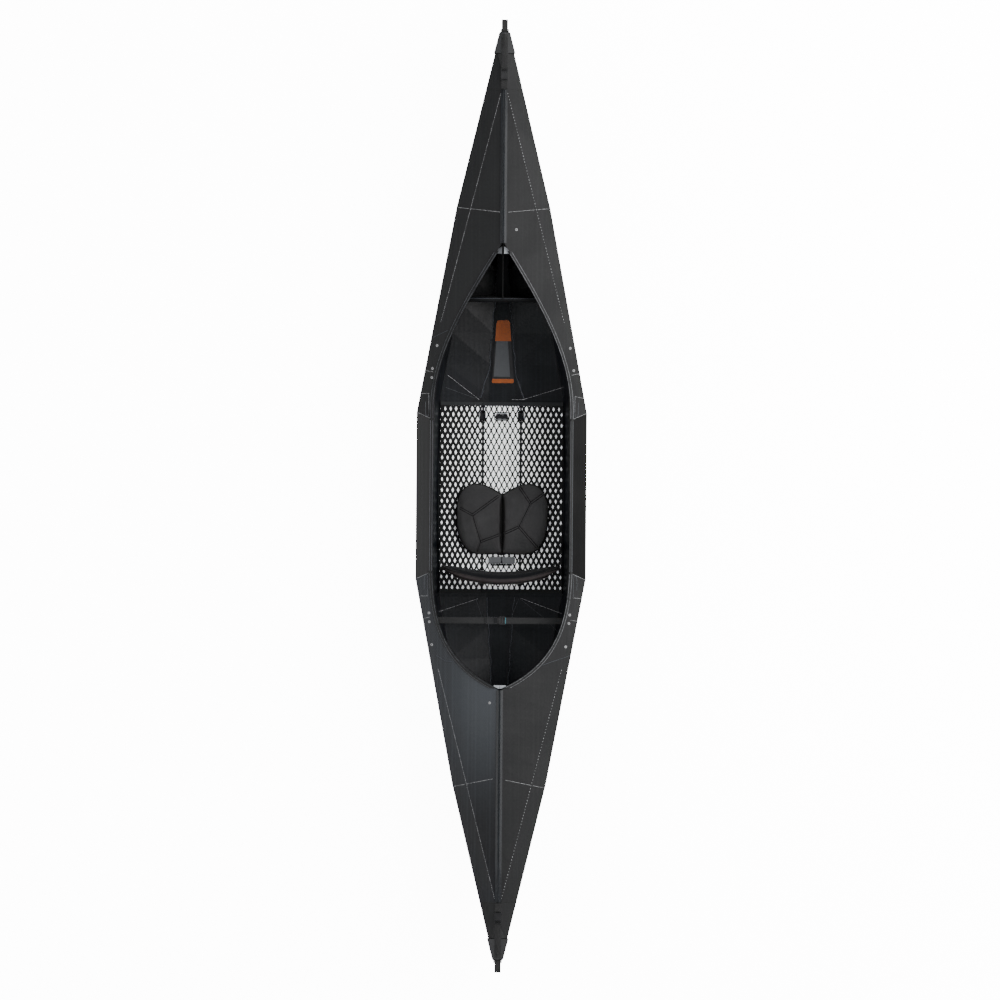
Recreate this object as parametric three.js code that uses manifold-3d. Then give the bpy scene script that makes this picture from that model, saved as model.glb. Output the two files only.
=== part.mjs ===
// Folding kayak: a boat folded from corrugated sheet, with opening deck leaves, side flaps,
// end caps, deck rails, a loose floorboard, a folding seat and a tilting backrest.
// Millimetres. +Y points to the bow, +X to the right seen from above, +Z up.
// The origin lies under the middle of the boat, on the ground.
import * as THREE from 'three';
import { mergeVertices } from 'three/addons/utils/BufferGeometryUtils.js';
import Module from 'manifold-3d';

const wasm = await Module();
wasm.setup();

// Sheet and clearances
const sheetThickness = 5;
const creaseGap = 0.3;
const foldGap = 0.3;
const seatGap = 0.3;
const slotGap = 0.4;
const cutOverrun = 4;

// Hull stations, measured from the middle of the boat
const kinkY = 329;
const innerFoldY = 398;
const outerFoldY = 1141;
const capRimY = 1750;
const tipInsert = 38;
const stationPitch = 160;
const deckPitch = 80;
const tipPitch = 10;

// Hull lines
const cockpitHalfWidth = 275;
const sideDeckWidth = 63;
const kinkHalfBeam = cockpitHalfWidth + sideDeckWidth;
const foldHalfBeam = 186;
const rimHalfBeam = 38.5;
const frontHalfBeam = 16.5;
const sheerMidZ = 268;
const sheerRise = 67;
const sheerRimZ = sheerMidZ + sheerRise;
const sheerFrontRise = 4.1;
const keelHalfWidth = 54;
const keelFoldHalfWidth = 10;
const keelTipHalfWidth = 6.5;
const rockerRise = 130;
const rockerPower = 2.6;
const chineHalfWidth = 256;
const chineNarrowing = 6;
const chineInnerFoldHalfWidth = chineHalfWidth - chineNarrowing;
const chineFoldHalfWidth = 110;
const chineTipHalfWidth = 15;
const chineMidZ = 16;
const chineRise = 211;
const chinePower = 1.8;

// Deck
const ridgeApexRise = 100;
const ridgeApexZ = sheerMidZ + ridgeApexRise;
const ridgeRimRise = 14;
const ridgeRimZ = sheerRimZ + ridgeRimRise;
const ridgeFrontRise = 7.7;
const bowApexY = 1000;
const sternApexY = 768;
const seamSkew = 28;
const creaseAftY = 689;
const creaseInset = 27;
const outerFacetSlope = 0.42;
const innerFacetSlope = 0.1;
const tipDeckLength = 144;
const leafEndY = capRimY - tipDeckLength;
const creaseTipInset = 15;
const creaseTipY = leafEndY - creaseTipInset;
const leafEdgeX = 3.4;
const tipDeckGap = 0.5;
const edgeSteps = 12;
// Pull points of the cockpit edge: share of its half width, share of its length past the seam
const bowEdgeShares = [[1.036, 0.299], [0.727, 0.557]];
const sternEdgeShares = [[0.989, 0.555], [0.655, 0.833]];

// Cockpit edge trim
const trimGap = 0.7;
const trimLip = 10;
const trimNose = 5;
const trimWall = 2;
const trimBead = 0.8;
const clipLength = 100;
const clipSwell = 2.5;
const trimEndShare = 0.965;

// Deck rail
const railGap = 0.8;
const railHalfWidth = 13;
const railEdgeGap = 1;
const creaseTipHalfWidth = railHalfWidth + railEdgeGap;
const railFlange = 2.4;
const railBeadHalfWidth = 5;
const railBeadHeight = 3;
const railWebHalf = 1.4;
const railLipReach = 9;
const railLip = 2;

// End caps and handles
const capLength = 87;
const capWall = 3;
const capClearance = 1.2;
const capNose = 6;
const capNoseDrop = 3.5;
const rimArch = 9;
const webbing = 2.4;
const handlePinRadius = 3;
const handleCapGap = 0.8;
const handlePinReach = handlePinRadius + seatGap + webbing + handleCapGap;
const handlePinDrop = 12;
const handleReach = 48;
const handleWidth = 25;
const earThickness = 4;
const earHeight = 16;
const earTipShare = 0.25;
const roundSteps = 12;

// Closing straps and buckles
const strapWidth = 25;
const strapStartInset = 12;
const strapBendShare = 0.8;
const tongueHalfWidth = 28;
const tongueThickness = 1.2;
const strapEndGap = 0.6;
const anchorInset = 4;
const buckleWidth = 28;
const buckleHeight = 8;
const buckleInset = 60;
const maleY = capRimY - buckleInset;
const maleLength = 14;
const femaleLength = 33;
const buckleGap = 0.6;
const socketWall = 3;
const socketBack = 9;
const socketFace = 2.1;
const pocketWidth = buckleWidth - 2 * socketWall;
const pocketDepth = femaleLength - socketBack;
const pocketHeight = buckleHeight - 2 * socketFace;
const windowInset = 3;
const windowLength = 11;
const prongEndGap = 4;
const prongSideGap = 0.6;
const prongFaceGap = 0.4;
const prongLength = pocketDepth - prongEndGap;
const prongWidth = 4.4;
const prongHeight = pocketHeight - 2 * prongFaceGap;
const prongSpread = (pocketWidth - prongWidth) / 2 - prongSideGap;
const prongTipShare = 0.25;
const middleProngShare = 0.8;
const socketTaperShare = 0.25;
const barSlot = 2.6;
const barSlotRail = 3.5;
const barSlotWidth = buckleWidth - 2 * barSlotRail;
const barSlotShares = [0.25, 0.65];

// Bulkhead, foot bar and cord
const bulkheadY = 780;
const bulkheadTopZ = 232;
const bulkheadCrown = 12;
const bulkheadSteps = 8;
const footBarWidth = 22;
const footBarHeight = 16;
const footBarGrip = 9;
const cordRadius = 2;
const cordSides = 8;

// Floorboard
const floorFrontGap = 22;
const floorRearGap = 10;
const floorEdgeGap = 5;
const floorFrontY = innerFoldY - floorFrontGap;
const floorRearY = floorRearGap - innerFoldY;
const floorHalfWidth = chineInnerFoldHalfWidth - floorEdgeGap;
const floorThickness = 6;
const floorHingeX = 76;
const hingeGroove = 2;
const hingeGrooveDepth = 3;
const floorLipLength = 15;
const floorLipHeight = 4;
const strapSlotWidth = 17;
const strapSlotLength = 28;
const frontSlotInset = 57;
const rearSlotInset = 44;
const gripWidth = 50;
const gripLength = 18;
const gripInset = 59;
const gripRound = 5;

// Seat
const seatX = 5;
const seatHalfWidth = 185;
const seatFrontY = 51;
const seatNotch = 40;
const seatRearY = -238;
const seatHeight = 30;
const seatCrown = 8;
const seatHalfGap = 0.4;
const seatPoints = 7;
const channelWidth = 7;
const channelDepth = 4;
const channelStep = 24;
const channelLift = 2;
// Outline of the left half: shares of its half width and of its length behind the lobe
const lobeShares = [[0.12, 0.10], [0.33, 0], [0.57, 0]];
const flankShares = [[0.83, 0], [1, 0.14], [1, 0.38]];
const hipShares = [[1, 0.66], [0.93, 0.85], [0.72, 0.95]];
const tailShares = [[0.62, 1], [0.25, 1], [0, 0.985]];
// Sewn channels, in the same shares
const leftChannelShares = [
  [[0.91, 0.35], [0.64, 0.44], [0.09, 0.18]],
  [[0.64, 0.44], [0.46, 0.81], [0.07, 0.715]],
  [[0.46, 0.81], [0.53, 0.94]],
];
const rightChannelShares = [
  [[0.37, 0.055], [0.605, 0.275], [0.87, 0.15]],
  [[0.605, 0.275], [0.36, 0.6], [0.07, 0.685]],
  [[0.36, 0.6], [0.75, 0.88]],
];
// Side profile of the cushion: share of the outline, share of the height
const profileShares = [[0.93, 0], [0.985, 0.14], [1, 0.38], [0.985, 0.66], [0.94, 0.86], [0.86, 0.97]];
const crownShares = [[0.66, 0.55], [0.42, 0.85], [0.2, 0.97]];

// Seat link
const linkWidth = 104;
const linkLength = 28;
const linkHeight = 12;
const linkOffset = 5;
const linkRound = 5;
const linkNotch = 6;

// Backrest
const backHalfWidth = 238;
const backMidInset = 82;
const backMidY = floorRearY + backMidInset;
const backBow = 48;
const backBottomZ = 58;
const backTopZ = 238;
const backPadThickness = 26;
const backLean = 0.1;
const backEndTaperShare = 0.45;
const backEndPower = 4;
const backSteps = 16;
const shellThickness = 3;
const shellGap = 1.2;
const shellHalfWidth = 190;
const shellInset = 18;
const backPinRadius = 4;
const backPinX = 70;
const backPinZ = 34;
const pedestalWidth = 16;
const pedestalLength = 24;
const pedestalHead = 8;
const knuckleWidth = 22;
const knuckleWall = 3;
const bracketRise = 36;
const stayWidth = 20;
const stayFootY = -190;
const stayFootInset = 6.4;
const stayTopShare = 0.7;

// Cross strap
const crossStrapY = -495;
const crossStrapZ = 200;
const crossBuckleX = -20;

/** Value of a table of [station, value] pairs at a station, carried on past its last pair. */
function along(table, station) {
  let i = 0;
  while (i + 2 < table.length && station > table[i + 1][0]) i += 1;
  const [from, low] = table[i];
  const [to, high] = table[i + 1];
  return low + (high - low) * (station - from) / (to - from);
}

const hullTipY = capRimY + tipInsert;
const capFrontY = capRimY + capLength;
const sheerFrontZ = sheerRimZ + sheerFrontRise;
const sheerTable = [
  [0, kinkHalfBeam], [kinkY, kinkHalfBeam], [outerFoldY, foldHalfBeam], [capRimY, rimHalfBeam],
  [capFrontY, frontHalfBeam],
];
const sheerHeights = [[0, sheerMidZ], [kinkY, sheerMidZ], [capRimY, sheerRimZ], [capFrontY, sheerFrontZ]];
const ridgeHeights = [
  [bowApexY, ridgeApexZ], [capRimY, ridgeRimZ], [capFrontY, sheerFrontZ + ridgeFrontRise],
];
const keelTable = [
  [0, keelHalfWidth], [innerFoldY, keelHalfWidth], [outerFoldY, keelFoldHalfWidth],
  [hullTipY, keelTipHalfWidth],
];
const chineTable = [
  [0, chineHalfWidth], [innerFoldY, chineInnerFoldHalfWidth], [outerFoldY, chineFoldHalfWidth],
  [hullTipY, chineTipHalfWidth],
];

const bulkheadFrontY = bulkheadY + sheetThickness / 2;
const bulkheadRearY = bulkheadY - sheetThickness / 2;

/** Stations from one Y to another, with every named break between them and no wider than the pitch. */
function stations(fromY, toY, breaks, pitch = stationPitch) {
  const fixed = [fromY, ...breaks.filter((y) => y > fromY && y < toY), toY];
  const result = [];
  for (let i = 0; i + 1 < fixed.length; i += 1) {
    const steps = Math.ceil((fixed[i + 1] - fixed[i]) / pitch);
    for (let k = 0; k < steps; k += 1) result.push(fixed[i] + (fixed[i + 1] - fixed[i]) * k / steps);
  }
  result.push(toY);
  return result;
}

const endBreaks = [bulkheadRearY, bulkheadFrontY, outerFoldY, leafEndY];
const tipRows = stations(capRimY, hullTipY, [], tipPitch);
const endRows = [...stations(innerFoldY + foldGap / 2, capRimY, endBreaks).slice(0, -1), ...tipRows];
const endShare = (y) => Math.max(0, (y - innerFoldY) / (hullTipY - innerFoldY));
const keelHeights = [[0, 0], ...endRows.map((y) => [y, rockerRise * endShare(y) ** rockerPower])];
const chineHeights = [
  [0, chineMidZ], ...endRows.map((y) => [y, chineMidZ + chineRise * endShare(y) ** chinePower]),
];

const sheerX = (y) => along(sheerTable, Math.abs(y));
const sheerZ = (y) => along(sheerHeights, Math.abs(y));
const ridgeZ = (y) => along(ridgeHeights, Math.abs(y));
const keelZ = (y) => along(keelHeights, Math.abs(y));
const chineZ = (y) => along(chineHeights, Math.abs(y));

/** Half section of the hull at a station: keel edge, chine and sheer. */
function hullLine(y) {
  return [
    new THREE.Vector2(along(keelTable, Math.abs(y)), keelZ(y)),
    new THREE.Vector2(along(chineTable, Math.abs(y)), chineZ(y)),
    new THREE.Vector2(sheerX(y), sheerZ(y)),
  ];
}

/** Half width of the deck's lengthwise crease. */
function creaseX(y) {
  const table = [[creaseAftY, sheerX(creaseAftY) - creaseInset], [creaseTipY, creaseTipHalfWidth]];
  const station = Math.abs(y);
  if (station > creaseTipY) return creaseTipHalfWidth * sheerX(station) / sheerX(creaseTipY);
  return Math.min(along(table, station), sheerX(station) - creaseInset);
}

/** Deck line at a station, from the crease to a point at half width edgeX. */
function deckLine(y, edgeX) {
  const x = creaseX(y);
  const steep = sheerZ(y) + outerFacetSlope * (sheerX(y) - x);
  const z = Math.min(steep, ridgeZ(y) - innerFacetSlope * x);
  const slope = (ridgeZ(y) - z) / x;
  return [new THREE.Vector2(x, z), new THREE.Vector2(edgeX, ridgeZ(y) - slope * edgeX)];
}

/** Points of an open line moved sideways by distance, mitred at its corners, to its left. */
function offsetLine(points, distance) {
  const normals = [];
  for (let i = 0; i + 1 < points.length; i += 1) {
    const d = points[i + 1].clone().sub(points[i]).normalize();
    normals.push(new THREE.Vector2(-d.y, d.x));
  }
  return points.map((point, i) => {
    const before = normals[Math.max(i - 1, 0)];
    const after = normals[Math.min(i, normals.length - 1)];
    const mitre = before.clone().add(after).divideScalar(1 + before.dot(after));
    return point.clone().addScaledVector(mitre, distance);
  });
}

/** Points of a closed anticlockwise polygon moved outwards by distance. */
function offsetLoop(points, distance) {
  const count = points.length;
  const wrapped = [points[count - 1], ...points, points[0]];
  return offsetLine(wrapped, -distance).slice(1, count + 1);
}

/** Turns a geometry inside out when its faces point inwards. */
function facingOut(geometry) {
  const p = geometry.attributes.position;
  const index = geometry.index.array;
  const corner = [new THREE.Vector3(), new THREE.Vector3(), new THREE.Vector3()];
  let volume = 0;
  for (let i = 0; i < index.length; i += 3) {
    corner.forEach((c, k) => c.fromBufferAttribute(p, index[i + k]));
    volume += corner[0].dot(corner[1].clone().cross(corner[2]));
  }
  if (volume > 0) return geometry;
  const turned = Array.from(index);
  for (let i = 0; i < turned.length; i += 3) [turned[i], turned[i + 1]] = [turned[i + 1], turned[i]];
  geometry.setIndex(turned);
  return geometry;
}

const seenAlongY = (p) => new THREE.Vector2(p.x, p.z);
const seenAlongX = (p) => new THREE.Vector2(p.y, p.z);
const seenAlongZ = (p) => new THREE.Vector2(p.x, p.y);

/** Triangles of a flat ring, wound like the ring itself. */
function capFaces(ring, flatten) {
  const flat = ring.map(flatten);
  const around = THREE.ShapeUtils.area(flat);
  return THREE.ShapeUtils.triangulateShape(flat, []).map((face) => {
    const own = THREE.ShapeUtils.area(face.map((i) => flat[i]));
    return own * around > 0 ? face : [face[0], face[2], face[1]];
  });
}

/** Closed body through rings with equally many points, closed by a flat face at both ends. */
function loft(rings, flatten = seenAlongY) {
  const count = rings[0].length;
  const last = (rings.length - 1) * count;
  const index = [];
  for (let start = 0; start < last; start += count) {
    for (let i = 0; i < count; i += 1) {
      const a = start + i;
      const b = start + (i + 1) % count;
      index.push(a, b, a + count, b, b + count, a + count);
    }
  }
  for (const [a, b, c] of capFaces(rings[0], flatten)) index.push(a, c, b);
  const farFaces = capFaces(rings[rings.length - 1], flatten);
  for (const [a, b, c] of farFaces) index.push(last + a, last + b, last + c);
  const geometry = new THREE.BufferGeometry().setFromPoints(rings.flat());
  geometry.setIndex(index);
  return facingOut(geometry);
}

/** A flat outline in X and Z carried from one Y to another. */
function barAlongY(points, fromY, toY) {
  return loft([fromY, toY].map((y) => points.map((p) => new THREE.Vector3(p.x, y, p.y))));
}

/** A flat outline in Y and Z carried from one X to another. */
function barAlongX(points, fromX, toX) {
  return loft([fromX, toX].map((x) => points.map((p) => new THREE.Vector3(x, p.x, p.y))), seenAlongX);
}

/** A flat outline in X and Y carried from one Z to another. */
function barAlongZ(points, fromZ, toZ) {
  return loft([fromZ, toZ].map((z) => points.map((p) => new THREE.Vector3(p.x, p.y, z))), seenAlongZ);
}

/** A block between two corners. */
function block(low, high) {
  const size = high.map((value, i) => value - low[i]);
  const middle = high.map((value, i) => (value + low[i]) / 2);
  return new THREE.BoxGeometry(...size).translate(...middle);
}

/** Geometry as a solid that can be joined and cut. */
function solid(geometry) {
  const bare = geometry.clone();
  bare.deleteAttribute('normal');
  bare.deleteAttribute('uv');
  const merged = mergeVertices(bare);
  const vertProperties = new Float32Array(merged.attributes.position.array);
  const triVerts = new Uint32Array(merged.index.array);
  return new wasm.Manifold(new wasm.Mesh({ numProp: 3, vertProperties, triVerts }));
}

/** A joined or cut solid as geometry. */
function shape(body) {
  const mesh = body.getMesh();
  const geometry = new THREE.BufferGeometry();
  geometry.setAttribute('position', new THREE.BufferAttribute(mesh.vertProperties, 3));
  geometry.setIndex(new THREE.BufferAttribute(mesh.triVerts, 1));
  return geometry;
}

/** One geometry less others. */
function cut(geometry, tools) {
  return shape(tools.reduce((body, tool) => body.subtract(solid(tool)), solid(geometry)));
}

/** Several geometries joined into one. */
function join(geometries) {
  return shape(geometries.map(solid).reduce((body, next) => body.add(next)));
}

// The stretches of the hull sheet between its crosswise folds
const stretches = {
  mid: { end: 1, rows: stations(-innerFoldY + foldGap / 2, innerFoldY - foldGap / 2, [-kinkY, kinkY]) },
  bow: { end: 1, rows: endRows },
  stern: { end: -1, rows: endRows },
};

/** Four corners of one hull panel at a station, from corner number first of the section to the next. */
function panelRing(y, first, side, end) {
  const outer = [new THREE.Vector2(0, keelZ(y)), ...hullLine(y), deckLine(y, leafEdgeX)[0]];
  const inner = offsetLine(outer, sheetThickness);
  const run = outer[first + 1].clone().sub(outer[first]).normalize().multiplyScalar(creaseGap);
  const corners = [
    outer[first].clone().add(run), outer[first + 1].clone().sub(run),
    inner[first + 1].clone().sub(run), inner[first].clone().add(run),
  ];
  return corners.map((c) => new THREE.Vector3(side * c.x, end * y, c.y));
}

/** One face of the hull between two lengthwise creases. */
function hullPanel(stretch, first, side) {
  const { end, rows } = stretches[stretch];
  return loft(rows.map((y) => panelRing(y, first, side, end)));
}

/** The flat strip along the bottom. */
function keelStrip(stretch) {
  const { end, rows } = stretches[stretch];
  return loft(rows.map((y) => {
    const outer = [new THREE.Vector2(0, keelZ(y)), ...hullLine(y)];
    const edge = outer[1].x - creaseGap;
    const topEdge = offsetLine(outer, sheetThickness)[1].x - creaseGap;
    const base = keelZ(y);
    return [[-edge, base], [edge, base], [topEdge, base + sheetThickness], [-topEdge, base + sheetThickness]]
      .map(([x, z]) => new THREE.Vector3(x, end * y, z));
  }));
}

/** Cockpit edge in plan for the bow or stern half, from the seam (0) to the apex (1). */
function cockpitEdge(end) {
  const apexY = end > 0 ? bowApexY : sternApexY;
  const shares = end > 0 ? bowEdgeShares : sternEdgeShares;
  const startY = kinkY - seamSkew;
  const pull = shares.map(([x, y]) => new THREE.Vector2(x * cockpitHalfWidth, startY + y * (apexY - startY)));
  return new THREE.CubicBezierCurve(
    new THREE.Vector2(cockpitHalfWidth, startY), pull[0], pull[1], new THREE.Vector2(leafEdgeX, apexY),
  );
}

/** Deck section: sheer, crease and inner edge, each with its own Y where the ring is skewed. */
function deckRing(edgeX, edgeY, sheerY) {
  const [crease, edge] = deckLine(sheerY, edgeX);
  const outer = [new THREE.Vector2(sheerX(sheerY), sheerZ(sheerY)), crease, edge];
  const [, chine] = hullLine(sheerY);
  const inner = offsetLine([chine, ...outer], sheetThickness).slice(1);
  const run = crease.clone().sub(outer[0]).normalize().multiplyScalar(creaseGap);
  outer[0].add(run);
  inner[0].add(run);
  inner[2].lerp(inner[1], (edge.x - inner[2].x) / (inner[1].x - inner[2].x));
  const slant = (p) => sheerY + (edgeY - sheerY) * (sheerX(sheerY) - p.x) / (sheerX(sheerY) - edgeX);
  const place = (p) => new THREE.Vector3(p.x, slant(p), p.y);
  return { outer: outer.map(place), inner: inner.map(place) };
}

/** Rings of a deck leaf along the cockpit, from the seam by the kink to the apex. */
function cockpitRings(end) {
  const curve = cockpitEdge(end);
  const rings = [];
  for (let i = 0; i <= edgeSteps; i += 1) {
    const point = curve.getPoint(i / edgeSteps);
    if (i === 0) rings.push(deckRing(point.x, point.y + foldGap, kinkY + foldGap));
    else rings.push(deckRing(point.x, point.y, point.y));
  }
  return rings;
}

const placed = (side, end) => (p) => new THREE.Vector3(side * p.x, end * p.y, p.z);

/** One deck leaf: outer and inner facet, from the kink to the tip deck. */
function deckLeaf(side, end) {
  const rings = cockpitRings(end);
  const apexY = end > 0 ? bowApexY : sternApexY;
  const rows = stations(apexY, leafEndY, [outerFoldY], deckPitch).slice(1);
  rings.push(...rows.map((y) => deckRing(leafEdgeX, y, y)));
  return loft(rings.map((r) => [...r.outer, ...r.inner.reverse()].map(placed(side, end))));
}

/** The short closed deck over the tip, both facets of both sides. */
function tipDeck(end) {
  const rows = [leafEndY + tipDeckGap, ...tipRows];
  return loft(rows.map((y) => {
    const { outer, inner } = deckRing(0, y, y);
    const mirror = (p) => new THREE.Vector3(-p.x, p.y, p.z);
    const ring = [outer[0], outer[1], outer[2], mirror(outer[1]), mirror(outer[0])];
    ring.push(mirror(inner[0]), mirror(inner[1]), inner[2], inner[1], inner[0]);
    return ring.map(placed(1, end));
  }));
}

/** The flap beside the cockpit, between the two seams. */
function sideFlap(side) {
  const half = (end) => {
    const ring = deckRing(cockpitHalfWidth, kinkY - seamSkew - foldGap, kinkY - foldGap);
    return [...ring.outer, ...ring.inner.reverse()].map(placed(side, end));
  };
  return loft([half(-1), half(1)]);
}

/** Edge trim section at the inner edge of a deck ring; stretch widens it on slanted runs. */
function trimRing(ring, stretch, swell) {
  const [, crease, edge] = ring.outer;
  const inwards = crease.clone().sub(edge).normalize();
  const up = new THREE.Vector3(-inwards.z, 0, inwards.x).normalize();
  if (up.z < 0) up.negate();
  const top = trimGap + trimWall + swell;
  const low = -sheetThickness - trimGap - trimWall;
  const nose = trimNose + swell;
  const section = [
    [trimLip, top], [0, top + trimBead], [-nose, top / 2], [-nose, low / 2],
    [0, low], [trimLip, low], [trimLip, -sheetThickness - trimGap],
    [-trimGap, -sheetThickness - trimGap], [-trimGap, trimGap], [trimLip, trimGap],
  ];
  return section.map(([w, n]) => edge.clone().addScaledVector(inwards, w * stretch).addScaledVector(up, n));
}

/** Edge trim of a deck leaf, thicker in a clip at its seam end. */
function leafTrim(side, end) {
  const curve = cockpitEdge(end);
  const clipEndY = kinkY - seamSkew + clipLength;
  const rings = [];
  for (let i = 0; i <= edgeSteps; i += 1) {
    const share = trimEndShare * i / edgeSteps;
    const point = curve.getPoint(share);
    const tangent = curve.getTangent(share);
    const stretch = Math.hypot(tangent.x, tangent.y) / Math.abs(tangent.y);
    const ring = i === 0
      ? deckRing(point.x, point.y + foldGap, kinkY + foldGap)
      : deckRing(point.x, point.y, point.y);
    rings.push(trimRing(ring, stretch, point.y < clipEndY ? clipSwell : 0));
  }
  return loft(rings.map((ring) => ring.map(placed(side, end))));
}

/** Edge trim of a side flap. */
function flapTrim(side) {
  const ring = deckRing(cockpitHalfWidth, kinkY - seamSkew - foldGap, kinkY - foldGap);
  const section = trimRing(ring, 1, 0);
  return loft([-1, 1].map((end) => section.map(placed(side, end))));
}

/** Height of the deck's upper face at half width x. */
function deckTopZ(y, x) {
  const [crease] = deckLine(y, leafEdgeX);
  if (x > crease.x) return crease.y - outerFacetSlope * (x - crease.x);
  return ridgeZ(y) - (ridgeZ(y) - crease.y) * x / crease.x;
}

/** Rail over the seam: it grips the left leaf and covers the edge of the right one. */
function deckRail(end) {
  const apexY = end > 0 ? bowApexY : sternApexY;
  const rows = stations(apexY, leafEndY, [outerFoldY], deckPitch);
  return loft(rows.map((y) => {
    const crown = ridgeZ(y) + railGap;
    const side = deckTopZ(y, railHalfWidth) + railGap;
    const under = -(sheetThickness + 2 * railGap);
    const lipZ = deckTopZ(y, railLipReach) + railGap + under;
    const top = crown + railFlange;
    const section = [
      [railHalfWidth, side], [railHalfWidth, side + railFlange], [railBeadHalfWidth, top],
      [railBeadHalfWidth - railFlange, top + railBeadHeight],
      [railFlange - railBeadHalfWidth, top + railBeadHeight], [-railBeadHalfWidth, top],
      [-railHalfWidth, side + railFlange], [-railHalfWidth, side],
      [-railWebHalf, crown], [-railWebHalf, crown + under], [-railLipReach, lipZ],
      [-railLipReach, lipZ - railLip], [railWebHalf, crown + under - railLip], [railWebHalf, crown],
    ];
    return section.map(([x, z]) => new THREE.Vector3(x, end * y, z));
  }));
}

/** Closed outline of the hull's tip, anticlockwise seen from the stern. */
function tipLoop(y) {
  const right = [...hullLine(y), deckLine(y, 0)[0]];
  const left = right.map((p) => new THREE.Vector2(-p.x, p.y)).reverse();
  return [left[left.length - 1], ...right, new THREE.Vector2(0, ridgeZ(y)), ...left.slice(0, -1)];
}

const tipCrown = tipLoop(capRimY).findIndex((p) => p.x === 0);
const capTopZ = (y) => offsetLoop(tipLoop(y), capClearance + capWall)[tipCrown].y;
const strapStartY = capFrontY - strapStartInset;
const handlePinY = capFrontY + handlePinReach;
const handlePinZ = capTopZ(capFrontY) - handlePinDrop;

/** Moulded end cap: a pocket over the hull's tip with an arched rim and two ears for the handle. */
function endCap(end) {
  const ring = (y, distance, arch) => offsetLoop(tipLoop(y), distance)
    .map((p, i) => new THREE.Vector3(p.x, y + (i === tipCrown ? arch : 0), p.y));
  const outside = loft([
    ring(capRimY, capClearance + capWall, rimArch),
    ring(hullTipY, capClearance + capWall, 0),
    ring(strapStartY, capClearance + capWall, 0),
    ring(capFrontY - capNose, capClearance + capWall, 0),
    ring(capFrontY, capClearance + capWall - capNoseDrop, 0),
  ]);
  const pocket = loft([
    ring(capRimY - cutOverrun, capClearance, 0),
    ...tipRows.map((y) => ring(y, capClearance, 0)),
    ring(capFrontY - capNose - capWall, capClearance, 0),
  ]);
  const earX = handleWidth / 2 + seatGap;
  const ear = (from, to) => barAlongX([
    new THREE.Vector2(capFrontY - capNose, handlePinZ - earHeight / 2),
    new THREE.Vector2(handlePinY, handlePinZ - earHeight * earTipShare),
    new THREE.Vector2(handlePinY + handlePinRadius, handlePinZ),
    new THREE.Vector2(handlePinY, handlePinZ + earHeight * earTipShare),
    new THREE.Vector2(capFrontY - capNose, handlePinZ + earHeight / 2),
  ], from, to);
  const span = 2 * (earX + earThickness / 2);
  const pin = new THREE.CylinderGeometry(handlePinRadius, handlePinRadius, span, roundSteps)
    .rotateZ(Math.PI / 2).translate(0, handlePinY, handlePinZ);
  const body = join([outside, ear(earX, earX + earThickness), ear(-earX - earThickness, -earX), pin]);
  return turnEnd(cut(body, [pocket]), end);
}

/** A piece drawn for the bow, turned to the end where it belongs. */
function turnEnd(geometry, end) {
  return end > 0 ? geometry : geometry.rotateZ(Math.PI);
}

/** Points of an arc in a plane, about a centre. */
function arc(centre, radius, fromAngle, toAngle, steps) {
  const points = [];
  for (let i = 0; i <= steps; i += 1) {
    const angle = fromAngle + (toAngle - fromAngle) * i / steps;
    points.push(new THREE.Vector2(centre.x + radius * Math.cos(angle), centre.y + radius * Math.sin(angle)));
  }
  return points;
}

/** Webbing loop round the cap's pin, seen from the side as a flat eye. */
function handleLoop(end) {
  const inner = handlePinRadius + seatGap;
  const outer = inner + webbing;
  const nearEye = new THREE.Vector2(handlePinY, handlePinZ);
  const farEye = new THREE.Vector2(capFrontY + handleReach - outer, handlePinZ);
  const eye = (radius) => [
    ...arc(farEye, radius, -Math.PI / 2, Math.PI / 2, roundSteps / 2),
    ...arc(nearEye, radius, Math.PI / 2, 1.5 * Math.PI, roundSteps / 2),
  ];
  const band = barAlongX(eye(outer), -handleWidth / 2, handleWidth / 2);
  const hole = barAlongX(eye(inner), -handleWidth / 2 - cutOverrun, handleWidth / 2 + cutOverrun);
  return turnEnd(cut(band, [hole]), end);
}

const femaleStartY = maleY - maleLength - buckleGap;
const buckleZ = ridgeZ(femaleStartY - femaleLength) + seatGap;
const anchorY = leafEndY + tipDeckGap + anchorInset;

/** Height of the top of an outline round the tip at one x. */
function heightOver(loop, x) {
  const [sheer, crease, crown] = loop.slice(tipCrown - 2, tipCrown + 1);
  const [from, to] = x > crease.x ? [crease, sheer] : [crown, crease];
  return from.y + (to.y - from.y) * (x - from.x) / (to.x - from.x);
}

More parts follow.
